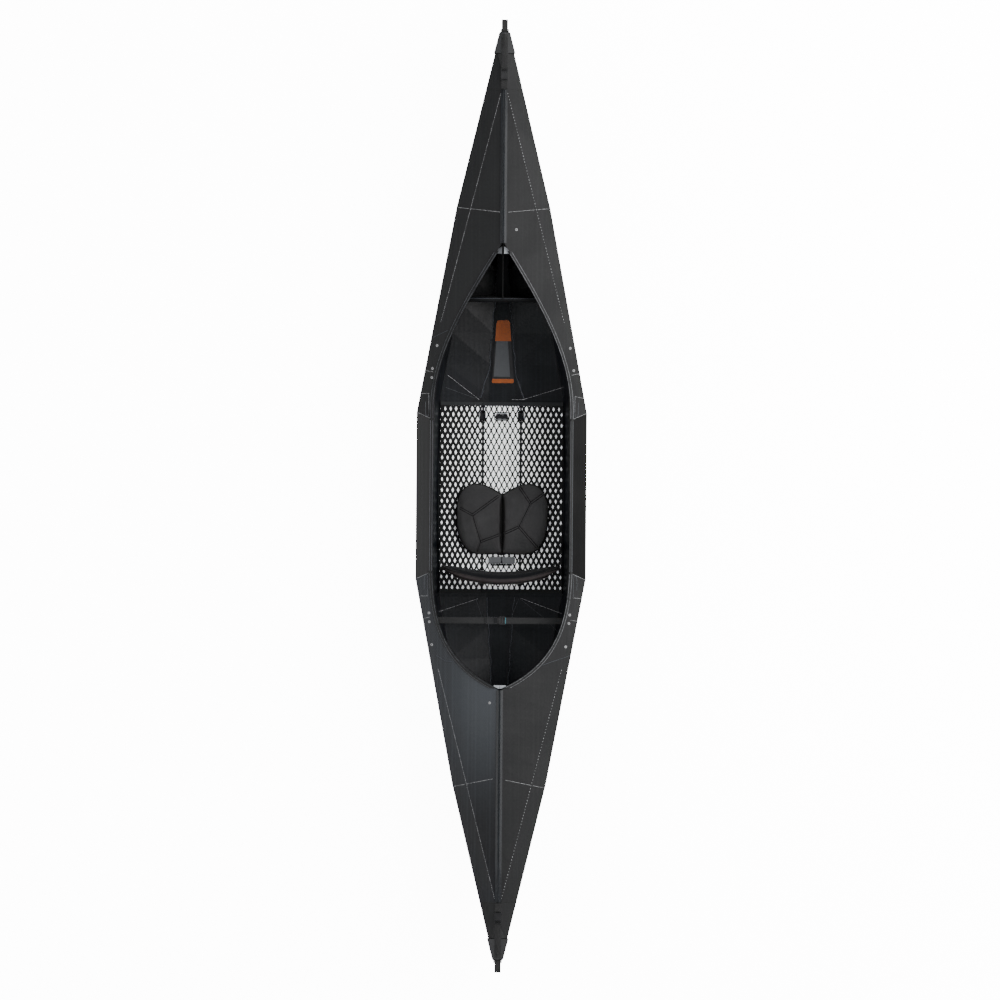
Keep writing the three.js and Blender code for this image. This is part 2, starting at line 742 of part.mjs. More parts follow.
/** Strap over the cap, with a tongue that flares from the plug half of the buckle to the rim. */
function capStrap(end) {
  const half = strapWidth / 2;
  const flatZ = buckleZ + buckleHeight / 2 - webbing / 2;
  const flat = [0, half * strapBendShare, half].map((x) => new THREE.Vector2(x, flatZ));
  const overCap = (y) => {
    const outside = offsetLoop(tipLoop(y), capClearance + capWall);
    const bend = Math.min(outside[tipCrown - 1].x, half * strapBendShare);
    return [0, bend, half].map((x) => new THREE.Vector2(x, heightOver(outside, x) + seatGap));
  };
  const rows = [
    [maleY + seatGap, flat], [capRimY - rimArch, overCap(capRimY)], [capRimY + rimArch, overCap(capRimY)],
    [hullTipY, overCap(hullTipY)], [strapStartY, overCap(strapStartY)],
  ];
  const band = (low, high) => ([y, [crown, bend, edge]]) => {
    const line = [[edge.x, edge.y], [bend.x, bend.y], [0, crown.y], [-bend.x, bend.y], [-edge.x, edge.y]];
    const under = line.map(([x, z]) => new THREE.Vector3(x, y, z + low));
    const over = line.map(([x, z]) => new THREE.Vector3(x, y, z + high)).reverse();
    return [...under, ...over];
  };
  const flareY = capRimY - seatGap;
  const [crown, , edge] = overCap(capRimY);
  const flareZ = heightOver(tipLoop(flareY), tongueHalfWidth) + seatGap;
  const flare = [crown, edge, new THREE.Vector2(tongueHalfWidth, flareZ)];
  const inset = (webbing - tongueThickness) / 2;
  const tongue = loft([[maleY + seatGap, flat], [flareY, flare]].map(band(inset, webbing - inset)));
  return turnEnd(join([loft(rows.map(band(0, webbing))), tongue]), end);
}

/** Plug half of a side-release buckle, plug end towards lower Y, base at z 0 and y 0. */
function bucklePlug() {
  const half = buckleWidth / 2;
  const base = block([-half, -maleLength, 0], [half, 0, buckleHeight]);
  const slot = (y) => block(
    [-barSlotWidth / 2, y - barSlot / 2, -cutOverrun],
    [barSlotWidth / 2, y + barSlot / 2, buckleHeight + cutOverrun],
  );
  const middle = buckleHeight / 2;
  const prong = (x, length) => {
    const tip = -maleLength - length;
    const outline = [
      new THREE.Vector2(x - prongWidth / 2, -maleLength + barSlot / 2),
      new THREE.Vector2(x - prongWidth / 2, tip + prongWidth / 2),
      new THREE.Vector2(x - prongWidth * prongTipShare, tip),
      new THREE.Vector2(x + prongWidth * prongTipShare, tip),
      new THREE.Vector2(x + prongWidth / 2, tip + prongWidth / 2),
      new THREE.Vector2(x + prongWidth / 2, -maleLength + barSlot / 2),
    ];
    return barAlongZ(outline, middle - prongHeight / 2, middle + prongHeight / 2);
  };
  const prongs = [prong(-prongSpread, prongLength), prong(prongSpread, prongLength)];
  prongs.push(prong(0, prongLength * middleProngShare));
  return cut(join([base, ...prongs]), barSlotShares.map((share) => slot(-maleLength * share)));
}

/** Socket half, mouth towards higher Y at y 0. */
function buckleSocket() {
  const half = buckleWidth / 2;
  const middle = buckleHeight / 2;
  const taper = half * socketTaperShare;
  const body = barAlongZ([
    new THREE.Vector2(-half, 0), new THREE.Vector2(-half, -femaleLength + half / 2),
    new THREE.Vector2(-half + taper, -femaleLength), new THREE.Vector2(half - taper, -femaleLength),
    new THREE.Vector2(half, -femaleLength + half / 2), new THREE.Vector2(half, 0),
  ], 0, buckleHeight);
  const pocket = block(
    [-pocketWidth / 2, -pocketDepth, middle - pocketHeight / 2],
    [pocketWidth / 2, cutOverrun, middle + pocketHeight / 2],
  );
  const windowFrom = -pocketDepth + windowInset;
  const sides = block(
    [-half - cutOverrun, windowFrom, middle - pocketHeight / 2],
    [half + cutOverrun, windowFrom + windowLength, middle + pocketHeight / 2],
  );
  const slotY = -femaleLength + (femaleLength - pocketDepth) / 2;
  const slot = block(
    [-barSlotWidth / 2, slotY - barSlot / 2, -cutOverrun],
    [barSlotWidth / 2, slotY + barSlot / 2, buckleHeight + cutOverrun],
  );
  return cut(body, [pocket, sides, slot]);
}

/** Strap from the socket half down to its anchor on the tip deck. */
function anchorStrap(end) {
  const half = strapWidth / 2;
  const frontY = femaleStartY - femaleLength - seatGap;
  const rows = [
    [anchorY, ridgeZ(anchorY) + seatGap],
    [(anchorY + frontY) / 2, ridgeZ((anchorY + frontY) / 2) + seatGap],
    [frontY, buckleZ + buckleHeight / 2 - webbing / 2],
  ];
  return turnEnd(loft(rows.map(([y, z]) => [[-half, 0], [half, 0], [half, webbing], [-half, webbing]]
    .map(([x, rise]) => new THREE.Vector3(x, y, z + rise)))), end);
}

/** Inner face of the hull's side at a station and height. */
function innerSideX(y, z) {
  const outer = [new THREE.Vector2(0, keelZ(y)), ...hullLine(y), deckLine(y, leafEdgeX)[0]];
  const inner = offsetLine(outer, sheetThickness);
  const [chine, sheer] = [inner[2], inner[3]];
  return chine.x + (sheer.x - chine.x) * (z - chine.y) / (sheer.y - chine.y);
}

const bulkheadHalfTop = innerSideX(bulkheadFrontY, bulkheadTopZ) - slotGap;
const bulkheadRim = (x) => bulkheadTopZ + bulkheadCrown * (1 - (x / bulkheadHalfTop) ** 2);

/** Panel standing across the bow, cut to the hull's inside, with a crowned top edge. */
function bulkhead() {
  const y = bulkheadFrontY;
  const outer = [new THREE.Vector2(0, keelZ(y)), ...hullLine(y), deckLine(y, leafEdgeX)[0]];
  const inner = offsetLine(outer, sheetThickness + slotGap);
  const right = [inner[1], inner[2], new THREE.Vector2(bulkheadHalfTop, bulkheadTopZ)];
  const crown = [];
  for (let i = 1; i < bulkheadSteps; i += 1) {
    const x = bulkheadHalfTop * (1 - 2 * i / bulkheadSteps);
    crown.push(new THREE.Vector2(x, bulkheadRim(x)));
  }
  const left = right.map((p) => new THREE.Vector2(-p.x, p.y)).reverse();
  return barAlongY([...right, ...crown, ...left], bulkheadRearY, bulkheadFrontY);
}

/** Rounded bar that grips the bulkhead's top edge. */
function footBar() {
  const half = footBarWidth / 2;
  const slot = sheetThickness / 2 + slotGap;
  const section = [
    ...arc(new THREE.Vector2(bulkheadY, 0), half, 0, Math.PI, roundSteps / 2),
    new THREE.Vector2(bulkheadY - half, -footBarGrip), new THREE.Vector2(bulkheadY - slot, -footBarGrip),
    new THREE.Vector2(bulkheadY - slot, slotGap), new THREE.Vector2(bulkheadY + slot, slotGap),
    new THREE.Vector2(bulkheadY + slot, -footBarGrip), new THREE.Vector2(bulkheadY + half, -footBarGrip),
  ];
  const reach = innerSideX(bulkheadY + half, bulkheadTopZ - footBarGrip) - slotGap;
  const rings = [];
  for (let i = 0; i <= bulkheadSteps; i += 1) {
    const x = reach * (2 * i / bulkheadSteps - 1);
    const squash = footBarHeight / footBarWidth;
    rings.push(section.map((p) => new THREE.Vector3(x, p.x, bulkheadRim(x) + p.y * squash)));
  }
  return loft(rings, seenAlongX);
}

/** Taut cord from the rail's end down to the foot bar. */
function bulkheadCord() {
  const railUnder = ridgeZ(bowApexY) - sheetThickness - railGap - railLip;
  const high = new THREE.Vector3(0, bowApexY, railUnder - slotGap - cordRadius - webbing / 2);
  const barTop = bulkheadRim(0) + footBarHeight / 2;
  const slope = Math.atan2(high.z - barTop, bowApexY - bulkheadY);
  const low = new THREE.Vector3(
    0, bulkheadY - cordRadius * Math.sin(slope), barTop + seatGap + cordRadius * Math.cos(slope),
  );
  const run = high.clone().sub(low);
  const middle = high.clone().add(low).multiplyScalar(1 / 2);
  const turn = new THREE.Quaternion().setFromUnitVectors(new THREE.Vector3(0, 1, 0), run.clone().normalize());
  const tube = new THREE.CylinderGeometry(cordRadius, cordRadius, run.length(), cordSides);
  return tube.applyQuaternion(turn).translate(middle.x, middle.y, middle.z);
}

const bilgeSlope = chineMidZ / (chineInnerFoldHalfWidth - keelHalfWidth);
const floorBaseZ = sheetThickness + bilgeSlope * (floorHingeX - keelHalfWidth) + seatGap * 2;
const floorTopZ = (x) => floorBaseZ + floorThickness + bilgeSlope * Math.max(0, Math.abs(x) - floorHingeX);

/** Outline of the grip through the floorboard, a slot with rounded corners. */
function gripOutline() {
  const reach = new THREE.Vector2(gripWidth, gripLength).divideScalar(2).subScalar(gripRound);
  const corner = (x, y, from) => {
    const centre = new THREE.Vector2(x * reach.x, floorFrontY - gripInset + y * reach.y);
    return arc(centre, gripRound, from, from + Math.PI / 2, roundSteps / 4);
  };
  return [
    ...corner(1, 1, 0), ...corner(-1, 1, Math.PI / 2),
    ...corner(-1, -1, Math.PI), ...corner(1, -1, 1.5 * Math.PI),
  ];
}

/** Floorboard: flat middle, side panels lying on the bilge faces, lips, slots and grip cut-outs. */
function floorboard() {
  const edgeRise = bilgeSlope * (floorHalfWidth - floorHingeX);
  const line = [
    new THREE.Vector2(-floorHalfWidth, floorBaseZ + edgeRise), new THREE.Vector2(-floorHingeX, floorBaseZ),
    new THREE.Vector2(floorHingeX, floorBaseZ), new THREE.Vector2(floorHalfWidth, floorBaseZ + edgeRise),
  ];
  const lifted = (rise) => line.map((p) => new THREE.Vector2(p.x, p.y + rise)).reverse();
  const board = barAlongY([...line, ...lifted(floorThickness)], floorRearY, floorFrontY);
  const raised = [...line, ...lifted(floorThickness + floorLipHeight)];
  const frontLip = barAlongY(raised, floorFrontY - floorLipLength, floorFrontY);
  const rearLip = barAlongY(raised, floorRearY, floorRearY + floorLipLength);
  const top = floorBaseZ + floorThickness;
  const groove = (x) => block(
    [x - hingeGroove / 2, floorRearY - cutOverrun, top - hingeGrooveDepth],
    [x + hingeGroove / 2, floorFrontY + cutOverrun, top + floorLipHeight + cutOverrun],
  );
  const hole = (x, y, width, length) => block(
    [x - width / 2, y - length / 2, -cutOverrun], [x + width / 2, y + length / 2, top + cutOverrun],
  );
  const cuts = [groove(-floorHingeX), groove(floorHingeX)];
  for (const side of [-1, 1]) {
    cuts.push(hole(side * floorHingeX, floorFrontY - frontSlotInset, strapSlotWidth, strapSlotLength));
    cuts.push(hole(side * floorHingeX, floorRearY + rearSlotInset, strapSlotWidth, strapSlotLength));
  }
  cuts.push(barAlongZ(gripOutline(), -cutOverrun, top + cutOverrun));
  return cut(join([board, frontLip, rearLip]), cuts);
}

/** Point of the seat's outline for a pair of shares, on the left (-1) or right (1) half. */
function seatPoint([across, behind], side) {
  const x = seatX + side * (seatHalfGap + across * (seatHalfWidth - seatHalfGap));
  return new THREE.Vector2(x, seatFrontY + behind * (seatRearY - seatFrontY));
}

/** Outline of one seat half, from the notch round the outside back to the crease. */
function seatOutline(side) {
  const notch = [0, seatNotch / (seatFrontY - seatRearY)];
  let from = notch;
  const points = [seatPoint(notch, side)];
  for (const [first, second, to] of [lobeShares, flankShares, hipShares, tailShares]) {
    const curve = new THREE.CubicBezierCurve(
      ...[from, first, second, to].map((pair) => seatPoint(pair, side)),
    );
    points.push(...curve.getPoints(seatPoints).slice(1));
    from = to;
  }
  return points;
}

/** One cushion half: drawn-in sides, a crown and sewn channels. */
function seatHalf(side, channelShares) {
  const outline = seatOutline(side);
  const middle = outline.reduce((sum, p) => sum.add(p), new THREE.Vector2()).divideScalar(outline.length);
  const inset = (share) => outline.map((p) => middle.clone().lerp(p, share));
  const heights = profileShares.map(([share, rise]) => [share, rise * seatHeight]);
  crownShares.forEach(([share, rise]) => heights.push([share, seatHeight + rise * seatCrown]));
  const rings = heights.map(([share, rise]) => inset(share)
    .map((p) => new THREE.Vector3(p.x, p.y, floorTopZ(p.x) + seatGap + rise)));
  const cushion = loft(rings, seenAlongZ);
  const surface = new THREE.Mesh(cushion, new THREE.MeshBasicMaterial({ side: THREE.DoubleSide }));
  const down = new THREE.Vector3(0, 0, -1);
  const above = floorTopZ(seatHalfWidth) + seatHeight + seatCrown + cutOverrun;
  const topAt = (p) => {
    const ray = new THREE.Raycaster(new THREE.Vector3(p.x, p.y, above), down);
    const hit = ray.intersectObject(surface)[0];
    return hit ? hit.point.z : floorTopZ(p.x);
  };
  const grooves = channelShares.map((line) => channel(line.map((pair) => seatPoint(pair, side)), topAt));
  return cut(cushion, grooves);
}

/** V-shaped groove along a line on the cushion. */
function channel(corners, topAt) {
  const rows = [];
  for (let i = 0; i + 1 < corners.length; i += 1) {
    const steps = Math.ceil(corners[i].distanceTo(corners[i + 1]) / channelStep);
    for (let k = 0; k < steps; k += 1) rows.push(corners[i].clone().lerp(corners[i + 1], k / steps));
  }
  rows.push(corners[corners.length - 1]);
  return loft(rows.map((p, i) => {
    const ahead = rows[Math.min(i + 1, rows.length - 1)];
    const behind = rows[Math.max(i - 1, 0)];
    const run = ahead.clone().sub(behind).normalize();
    const half = channelWidth / 2 * (1 + channelLift / channelDepth);
    const across = new THREE.Vector2(-run.y, run.x).multiplyScalar(half);
    const z = topAt(p);
    return [
      new THREE.Vector3(p.x + across.x, p.y + across.y, z + channelLift),
      new THREE.Vector3(p.x - across.x, p.y - across.y, z + channelLift),
      new THREE.Vector3(p.x, p.y, z - channelDepth),
    ];
  }), (p) => new THREE.Vector2(p.x + p.y, p.z));
}

/** Glossy link behind the seat that joins it to the floorboard. */
function seatLink() {
  const half = linkWidth / 2;
  const front = seatRearY - linkOffset;
  const rear = front - linkLength;
  const outline = [
    new THREE.Vector2(seatX + half - linkRound, front), new THREE.Vector2(seatX + linkNotch / 2, front),
    new THREE.Vector2(seatX, front - linkNotch), new THREE.Vector2(seatX - linkNotch / 2, front),
    new THREE.Vector2(seatX - half + linkRound, front), new THREE.Vector2(seatX - half, front - linkRound),
    new THREE.Vector2(seatX - half, rear + linkRound), new THREE.Vector2(seatX - half + linkRound, rear),
    new THREE.Vector2(seatX + half - linkRound, rear), new THREE.Vector2(seatX + half, rear + linkRound),
    new THREE.Vector2(seatX + half, front - linkRound),
  ];
  const base = floorTopZ(0) + seatGap;
  return barAlongZ(outline, base, base + linkHeight);
}

/** Point on the backrest: share across (-1 to 1), height, and depth behind its front face. */
function backPoint(share, z, depth) {
  const x = share * backHalfWidth;
  const y = backMidY + backBow * share * share - backLean * (z - backBottomZ) - depth;
  return new THREE.Vector3(x, y, z);
}

/** Padded band, bowed round the paddler, with ends that draw in. */
function backPad() {
  const rings = [];
  for (let i = 0; i <= backSteps; i += 1) {
    const share = 2 * i / backSteps - 1;
    const draw = Math.sqrt(1 - Math.abs(share) ** backEndPower * (1 - backEndTaperShare ** 2));
    const middleZ = (backTopZ + backBottomZ) / 2;
    const halfHeight = (backTopZ - backBottomZ) / 2 * draw;
    const halfDepth = backPadThickness / 2 * draw;
    const ring = [];
    for (let k = 0; k < roundSteps; k += 1) {
      const angle = 2 * Math.PI * (k + 1 / 2) / roundSteps;
      const bulge = (value) => Math.sign(value) * Math.sqrt(Math.abs(value));
      const z = middleZ + halfHeight * bulge(Math.sin(angle));
      ring.push(backPoint(share, z, backPadThickness / 2 + halfDepth * bulge(Math.cos(angle))));
    }
    rings.push(ring);
  }
  return loft(rings, seenAlongX);
}

const backPinY = backPoint(0, backPinZ, backPadThickness + shellGap + shellThickness / 2).y;

/** Stiff shell behind the pad, with two knuckles round the hinge pin. */
function backShell() {
  const reach = shellHalfWidth / backHalfWidth;
  const near = backPadThickness + shellGap;
  const rings = [];
  for (let i = 0; i <= backSteps; i += 1) {
    const share = reach * (2 * i / backSteps - 1);
    rings.push([
      backPoint(share, backBottomZ + shellInset, near), backPoint(share, backTopZ - shellInset, near),
      backPoint(share, backTopZ - shellInset, near + shellThickness),
      backPoint(share, backBottomZ + shellInset, near + shellThickness),
    ]);
  }
  const bore = backPinRadius + seatGap;
  const outside = bore + knuckleWall;
  const parts = [loft(rings, seenAlongX)];
  const bores = [];
  for (const side of [-1, 1]) {
    const x = side * backPinX;
    parts.push(new THREE.CylinderGeometry(outside, outside, knuckleWidth, roundSteps)
      .rotateZ(Math.PI / 2).translate(x, backPinY, backPinZ));
    const share = x / backHalfWidth;
    const foot = backPoint(share, backBottomZ + bracketRise, near);
    parts.push(barAlongX([
      new THREE.Vector2(foot.y, foot.z), new THREE.Vector2(foot.y - shellThickness, foot.z),
      new THREE.Vector2(backPinY - outside, backPinZ), new THREE.Vector2(backPinY - bore + seatGap, backPinZ),
    ], x - knuckleWidth / 2, x + knuckleWidth / 2));
    bores.push(new THREE.CylinderGeometry(bore, bore, knuckleWidth + cutOverrun, roundSteps)
      .rotateZ(Math.PI / 2).translate(x, backPinY, backPinZ));
  }
  return cut(join(parts), bores);
}

/** Hinge rod of the backrest on its two pedestals. */
function backHinge() {
  const reach = backPinX + knuckleWidth / 2 + seatGap + pedestalWidth;
  const rod = new THREE.CylinderGeometry(backPinRadius, backPinRadius, 2 * reach, roundSteps)
    .rotateZ(Math.PI / 2).translate(0, backPinY, backPinZ);
  const pedestal = (side) => {
    const near = side * (reach - pedestalWidth);
    const far = side * reach;
    const base = floorTopZ(reach) + seatGap;
    const half = pedestalLength / 2;
    return barAlongX([
      new THREE.Vector2(backPinY - half, base), new THREE.Vector2(backPinY + half, base),
      new THREE.Vector2(backPinY + pedestalHead, backPinZ + pedestalHead),
      new THREE.Vector2(backPinY - pedestalHead, backPinZ + pedestalHead),
    ], Math.min(near, far), Math.max(near, far));
  };
  return join([rod, pedestal(-1), pedestal(1)]);
}

/** Webbing stay from the floorboard's edge up to the end of the backrest. */
function backStay(side) {
  const topZ = backBottomZ + (backTopZ - backBottomZ) * stayTopShare;
  const kneeZ = (backTopZ + backBottomZ) / 2;
  const footX = floorHalfWidth - stayFootInset;
  const topX = backHalfWidth + seatGap * 2;
  const footZ = floorTopZ(footX) + seatGap;
  const topY = backPoint(1, topZ, backPadThickness / 2).y;
  const kneeY = stayFootY + (topY - stayFootY) * (kneeZ - footZ) / (topZ - footZ);
  const half = stayWidth / 2;
  const rows = [[footX, stayFootY, footZ], [topX, kneeY, kneeZ], [topX, topY, topZ]];
  return loft(rows.map(([x, y, z]) => [
    new THREE.Vector3(side * x, y - half, z), new THREE.Vector3(side * (x + webbing), y - half, z),
    new THREE.Vector3(side * (x + webbing), y + half, z), new THREE.Vector3(side * x, y + half, z),
  ]), seenAlongZ);
}

const crossPlugX = crossBuckleX + maleLength / 2;
const crossSocketX = crossPlugX - maleLength - buckleGap;

/** A piece drawn along Y, laid along X across the hull at the cross strap. */
function acrossHull(geometry, x) {
  return geometry.rotateZ(-Math.PI / 2).translate(x, crossStrapY, crossStrapZ - buckleHeight / 2);
}

/** Webbing from the hull's side to one half of the cross strap's buckle. */
function crossStrap(side) {
  const half = strapWidth / 2;
  const base = crossStrapZ - webbing / 2;
  const farWallX = innerSideX(Math.abs(crossStrapY) + half, base) - strapEndGap;
  const [fromX, toX] = side > 0
    ? [crossPlugX + seatGap, farWallX]
    : [-farWallX, crossSocketX - femaleLength - seatGap];
  return block([fromX, crossStrapY - half, base], [toX, crossStrapY + half, base + webbing]);
}

const sheetBlack = { color: 0x2b2c2e, roughness: 0.55, metalness: 0 };
const deckBlack = { color: 0x35363a, roughness: 0.5, metalness: 0 };
const trimBlack = { color: 0x1b1d20, roughness: 0.45, metalness: 0 };
const railBlue = { color: 0x232a33, roughness: 0.35, metalness: 0 };
const capGrey = { color: 0x56575a, roughness: 0.5, metalness: 0 };
const webbingBlack = { color: 0x2a2a2a, roughness: 0.9, metalness: 0 };
const buckleBlack = { color: 0x151515, roughness: 0.35, metalness: 0 };
const boardBlack = { color: 0x17181a, roughness: 0.4, metalness: 0 };
const foamBlack = { color: 0x2c2c2d, roughness: 0.85, metalness: 0 };

const kayak = new THREE.Group();

/** Adds one named sub-part. */
function addPart(name, geometry, finish) {
  const mesh = new THREE.Mesh(geometry, new THREE.MeshStandardMaterial(finish));
  mesh.name = name;
  kayak.add(mesh);
  return mesh;
}

const sides = [['left', -1], ['right', 1]];
const ends = [['bow', 1], ['stern', -1]];

for (const stretch of Object.keys(stretches)) {
  addPart(`keel_${stretch}`, keelStrip(stretch), sheetBlack);
  for (const [name, side] of sides) {
    addPart(`bilge_${stretch}_${name}`, hullPanel(stretch, 1, side), sheetBlack);
    addPart(`side_${stretch}_${name}`, hullPanel(stretch, 2, side), sheetBlack);
  }
}

for (const [name, side] of sides) {
  addPart(`flap_${name}`, sideFlap(side), deckBlack);
  addPart(`flap_trim_${name}`, flapTrim(side), trimBlack);
}

for (const [endName, end] of ends) {
  for (const [name, side] of sides) {
    addPart(`deck_${endName}_${name}`, deckLeaf(side, end), deckBlack);
    addPart(`trim_${endName}_${name}`, leafTrim(side, end), trimBlack);
  }
  addPart(`tip_deck_${endName}`, tipDeck(end), deckBlack);
  addPart(`rail_${endName}`, deckRail(end), railBlue);
  addPart(`cap_${endName}`, endCap(end), capGrey);
  addPart(`handle_${endName}`, handleLoop(end), webbingBlack);
  addPart(`cap_strap_${endName}`, capStrap(end), webbingBlack);
  const plug = bucklePlug().translate(0, maleY, buckleZ);
  addPart(`buckle_plug_${endName}`, turnEnd(plug, end), buckleBlack);
  const socket = buckleSocket().translate(0, femaleStartY, buckleZ);
  addPart(`buckle_socket_${endName}`, turnEnd(socket, end), buckleBlack);
  addPart(`anchor_strap_${endName}`, anchorStrap(end), webbingBlack);
}

addPart('bulkhead', bulkhead(), sheetBlack);
addPart('foot_bar', footBar(), railBlue);
addPart('bulkhead_cord', bulkheadCord(), webbingBlack);
addPart('floorboard', floorboard(), boardBlack);
addPart('seat_left', seatHalf(-1, leftChannelShares), foamBlack);
addPart('seat_right', seatHalf(1, rightChannelShares), foamBlack);
addPart('seat_link', seatLink(), buckleBlack);
addPart('backrest_pad', backPad(), foamBlack);
addPart('backrest_shell', backShell(), boardBlack);
addPart('backrest_hinge', backHinge(), buckleBlack);
for (const [name, side] of sides) addPart(`backrest_stay_${name}`, backStay(side), webbingBlack);
for (const [name, side] of sides) addPart(`cross_strap_${name}`, crossStrap(side), webbingBlack);
addPart('cross_buckle_plug', acrossHull(bucklePlug(), crossPlugX), buckleBlack);
addPart('cross_buckle_socket', acrossHull(buckleSocket(), crossSocketX), buckleBlack);

export default kayak;
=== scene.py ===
"""Folding kayak of black corrugated sheet, seen from straight above on a white studio floor.

All lengths are in metres. A Laid is a point on a surface with the surface's normal there.
"""
import logging
import math
from dataclasses import dataclass, field
from enum import Enum
from typing import Callable, Dict, Iterable, List, Optional, Sequence, Tuple, Union

import bmesh
import bpy
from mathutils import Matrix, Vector
from mathutils.bvhtree import BVHTree


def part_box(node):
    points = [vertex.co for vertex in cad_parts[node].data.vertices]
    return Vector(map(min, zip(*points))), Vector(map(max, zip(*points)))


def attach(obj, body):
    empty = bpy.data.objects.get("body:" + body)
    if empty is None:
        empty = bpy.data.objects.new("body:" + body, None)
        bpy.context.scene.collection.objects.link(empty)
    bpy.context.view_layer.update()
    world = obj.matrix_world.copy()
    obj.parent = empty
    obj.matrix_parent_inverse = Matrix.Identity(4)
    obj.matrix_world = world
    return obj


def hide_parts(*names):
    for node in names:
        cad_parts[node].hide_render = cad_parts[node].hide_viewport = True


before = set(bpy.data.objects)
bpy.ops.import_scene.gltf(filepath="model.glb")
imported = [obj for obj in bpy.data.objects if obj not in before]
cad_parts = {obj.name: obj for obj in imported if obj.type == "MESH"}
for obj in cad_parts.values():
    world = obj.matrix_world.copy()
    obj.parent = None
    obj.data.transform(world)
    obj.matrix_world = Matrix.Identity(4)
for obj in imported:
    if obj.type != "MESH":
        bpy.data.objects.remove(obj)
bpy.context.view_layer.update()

LOG = logging.getLogger("kayak")
Colour = Tuple[float, float, float]
Point2 = Tuple[float, float]
Laid = Tuple[Vector, Vector]

UP = Vector((0.0, 0.0, 1.0))

# Height of a mark's middle over the face that it lies on
MARK_LIFT = 0.0001


class Side(Enum):
    """Left or right of the boat, seen from above with the bow up."""

    LEFT = -1
    RIGHT = 1

    @property
    def word(self) -> str:
        """The side's word in the names of bodies and nodes."""
        return self.name.lower()


class End(Enum):
    """Bow or stern."""

    BOW = 1
    STERN = -1

    @property
    def word(self) -> str:
        """The end's word in the names of bodies and nodes."""
        return self.name.lower()


class Run(Enum):
    """Axis along which flutes or threads run, in object coordinates."""

    ALONG_X = "X"
    ALONG_Y = "Y"


# Shader node groups and materials


class Net:
    """A node tree with short calls for its nodes and links."""

    def __init__(self, tree: bpy.types.NodeTree) -> None:
        """Starts on the node tree to fill."""
        self.tree = tree

    def node(self, kind: str, **values: object) -> bpy.types.Node:
        """Adds a node and sets its properties.

        Args:
            kind: the node's type.
            values: properties of the node.

        Returns:
            The new node.
        """
        made = self.tree.nodes.new(kind)
        for name, value in values.items():
            setattr(made, name, value)
        return made

    def feed(self, socket: bpy.types.NodeSocket, value: object) -> None:
        """Links a socket to another one, or sets its value.

        Args:
            socket: the socket to feed.
            value: another node's socket, a plain value, or None to leave it.
        """
        if isinstance(value, bpy.types.NodeSocket):
            self.tree.links.new(value, socket)
        elif value is not None:
            socket.default_value = value

    def math(self, operation: str, *values: object, clamp: bool = False) -> bpy.types.NodeSocket:
        """One Math node.

        Args:
            operation: the node's operation.
            values: sockets or numbers for its inputs.
            clamp: whether the result stays in 0 to 1.

        Returns:
            The result's socket.
        """
        made = self.node("ShaderNodeMath", operation=operation, use_clamp=clamp)
        for socket, value in zip(made.inputs, values):
            self.feed(socket, value)
        return made.outputs[0]

    def times(self, first: object, second: object) -> bpy.types.NodeSocket:
        """The product of two values."""
        return self.math("MULTIPLY", first, second)

    def ramp(self, value: object, low: float, high: float, to_low: float = 0.0,
             to_high: float = 1.0) -> bpy.types.NodeSocket:
        """Smooth step of a value from one range to another.

        Args:
            value: the value.
            low: where the step starts.
            high: where it ends.
            to_low: the result at its start.
            to_high: the result at its end.

        Returns:
            The result's socket.
        """
        made = self.node("ShaderNodeMapRange", interpolation_type="SMOOTHSTEP")
        for socket, item in zip(made.inputs, (value, low, high, to_low, to_high)):
            self.feed(socket, item)
        return made.outputs[0]

    def mix(self, factor: object, first: object, second: object) -> bpy.types.NodeSocket:
        """Mix of two colours.

        Args:
            factor: the share of the second colour.
            first: the first colour.
            second: the second colour.

        Returns:
            The mixed colour's socket.
        """
        made = self.node("ShaderNodeMix", data_type="RGBA")
        for index, item in ((0, factor), (6, first), (7, second)):
            self.feed(made.inputs[index], item)
        return made.outputs[2]

    def noise(self, vector: object, scale: object, detail: float = 2.0,
              roughness: float = 0.5) -> bpy.types.NodeSocket:
        """Noise value at a vector.

        Args:
            vector: the place.
            scale: how fine the noise is.
            detail: its number of octaves.
            roughness: the weight of its finer octaves.

        Returns:
            The value's socket.
        """
        made = self.node("ShaderNodeTexNoise")
        self.feed(made.inputs["Vector"], vector)
        self.feed(made.inputs["Scale"], scale)
        self.feed(made.inputs["Detail"], detail)
        self.feed(made.inputs["Roughness"], roughness)
        return made.outputs[0]

    def split(self, vector: bpy.types.NodeSocket) -> List[bpy.types.NodeSocket]:
        """The three parts of a vector."""
        made = self.node("ShaderNodeSeparateXYZ")
        self.feed(made.inputs[0], vector)
        return list(made.outputs)

    def scaled(self, vector: object, scale: Tuple[float, float, float]) -> bpy.types.NodeSocket:
        """A vector times three numbers.

        Args:
            vector: the vector.
            scale: the numbers.

        Returns:
            The product's socket.
        """
        made = self.node("ShaderNodeVectorMath", operation="MULTIPLY")
        self.feed(made.inputs[0], vector)
        self.feed(made.inputs[1], scale)
        return made.outputs[0]


class GroupMaker:
    """Makes shader node groups with named inputs and outputs."""

    def __init__(self, name: str, inputs: Sequence[Tuple[str, str, object]],
                 outputs: Sequence[Tuple[str, str]]) -> None:
        """Starts a group.

        Args:
            name: the group's name.
            inputs: name, kind and default of each input.
            outputs: name and kind of each output.
        """
        self.tree = bpy.data.node_groups.new(name, "ShaderNodeTree")
        for label, kind, default in inputs:
            socket = self.tree.interface.new_socket(label, in_out="INPUT", socket_type=kind)
            if default is not None:
                socket.default_value = default
        for label, kind in outputs:
            self.tree.interface.new_socket(label, in_out="OUTPUT", socket_type=kind)
        self.net = Net(self.tree)
        self.ins = self.net.node("NodeGroupInput").outputs
        self.outs = self.net.node("NodeGroupOutput").inputs


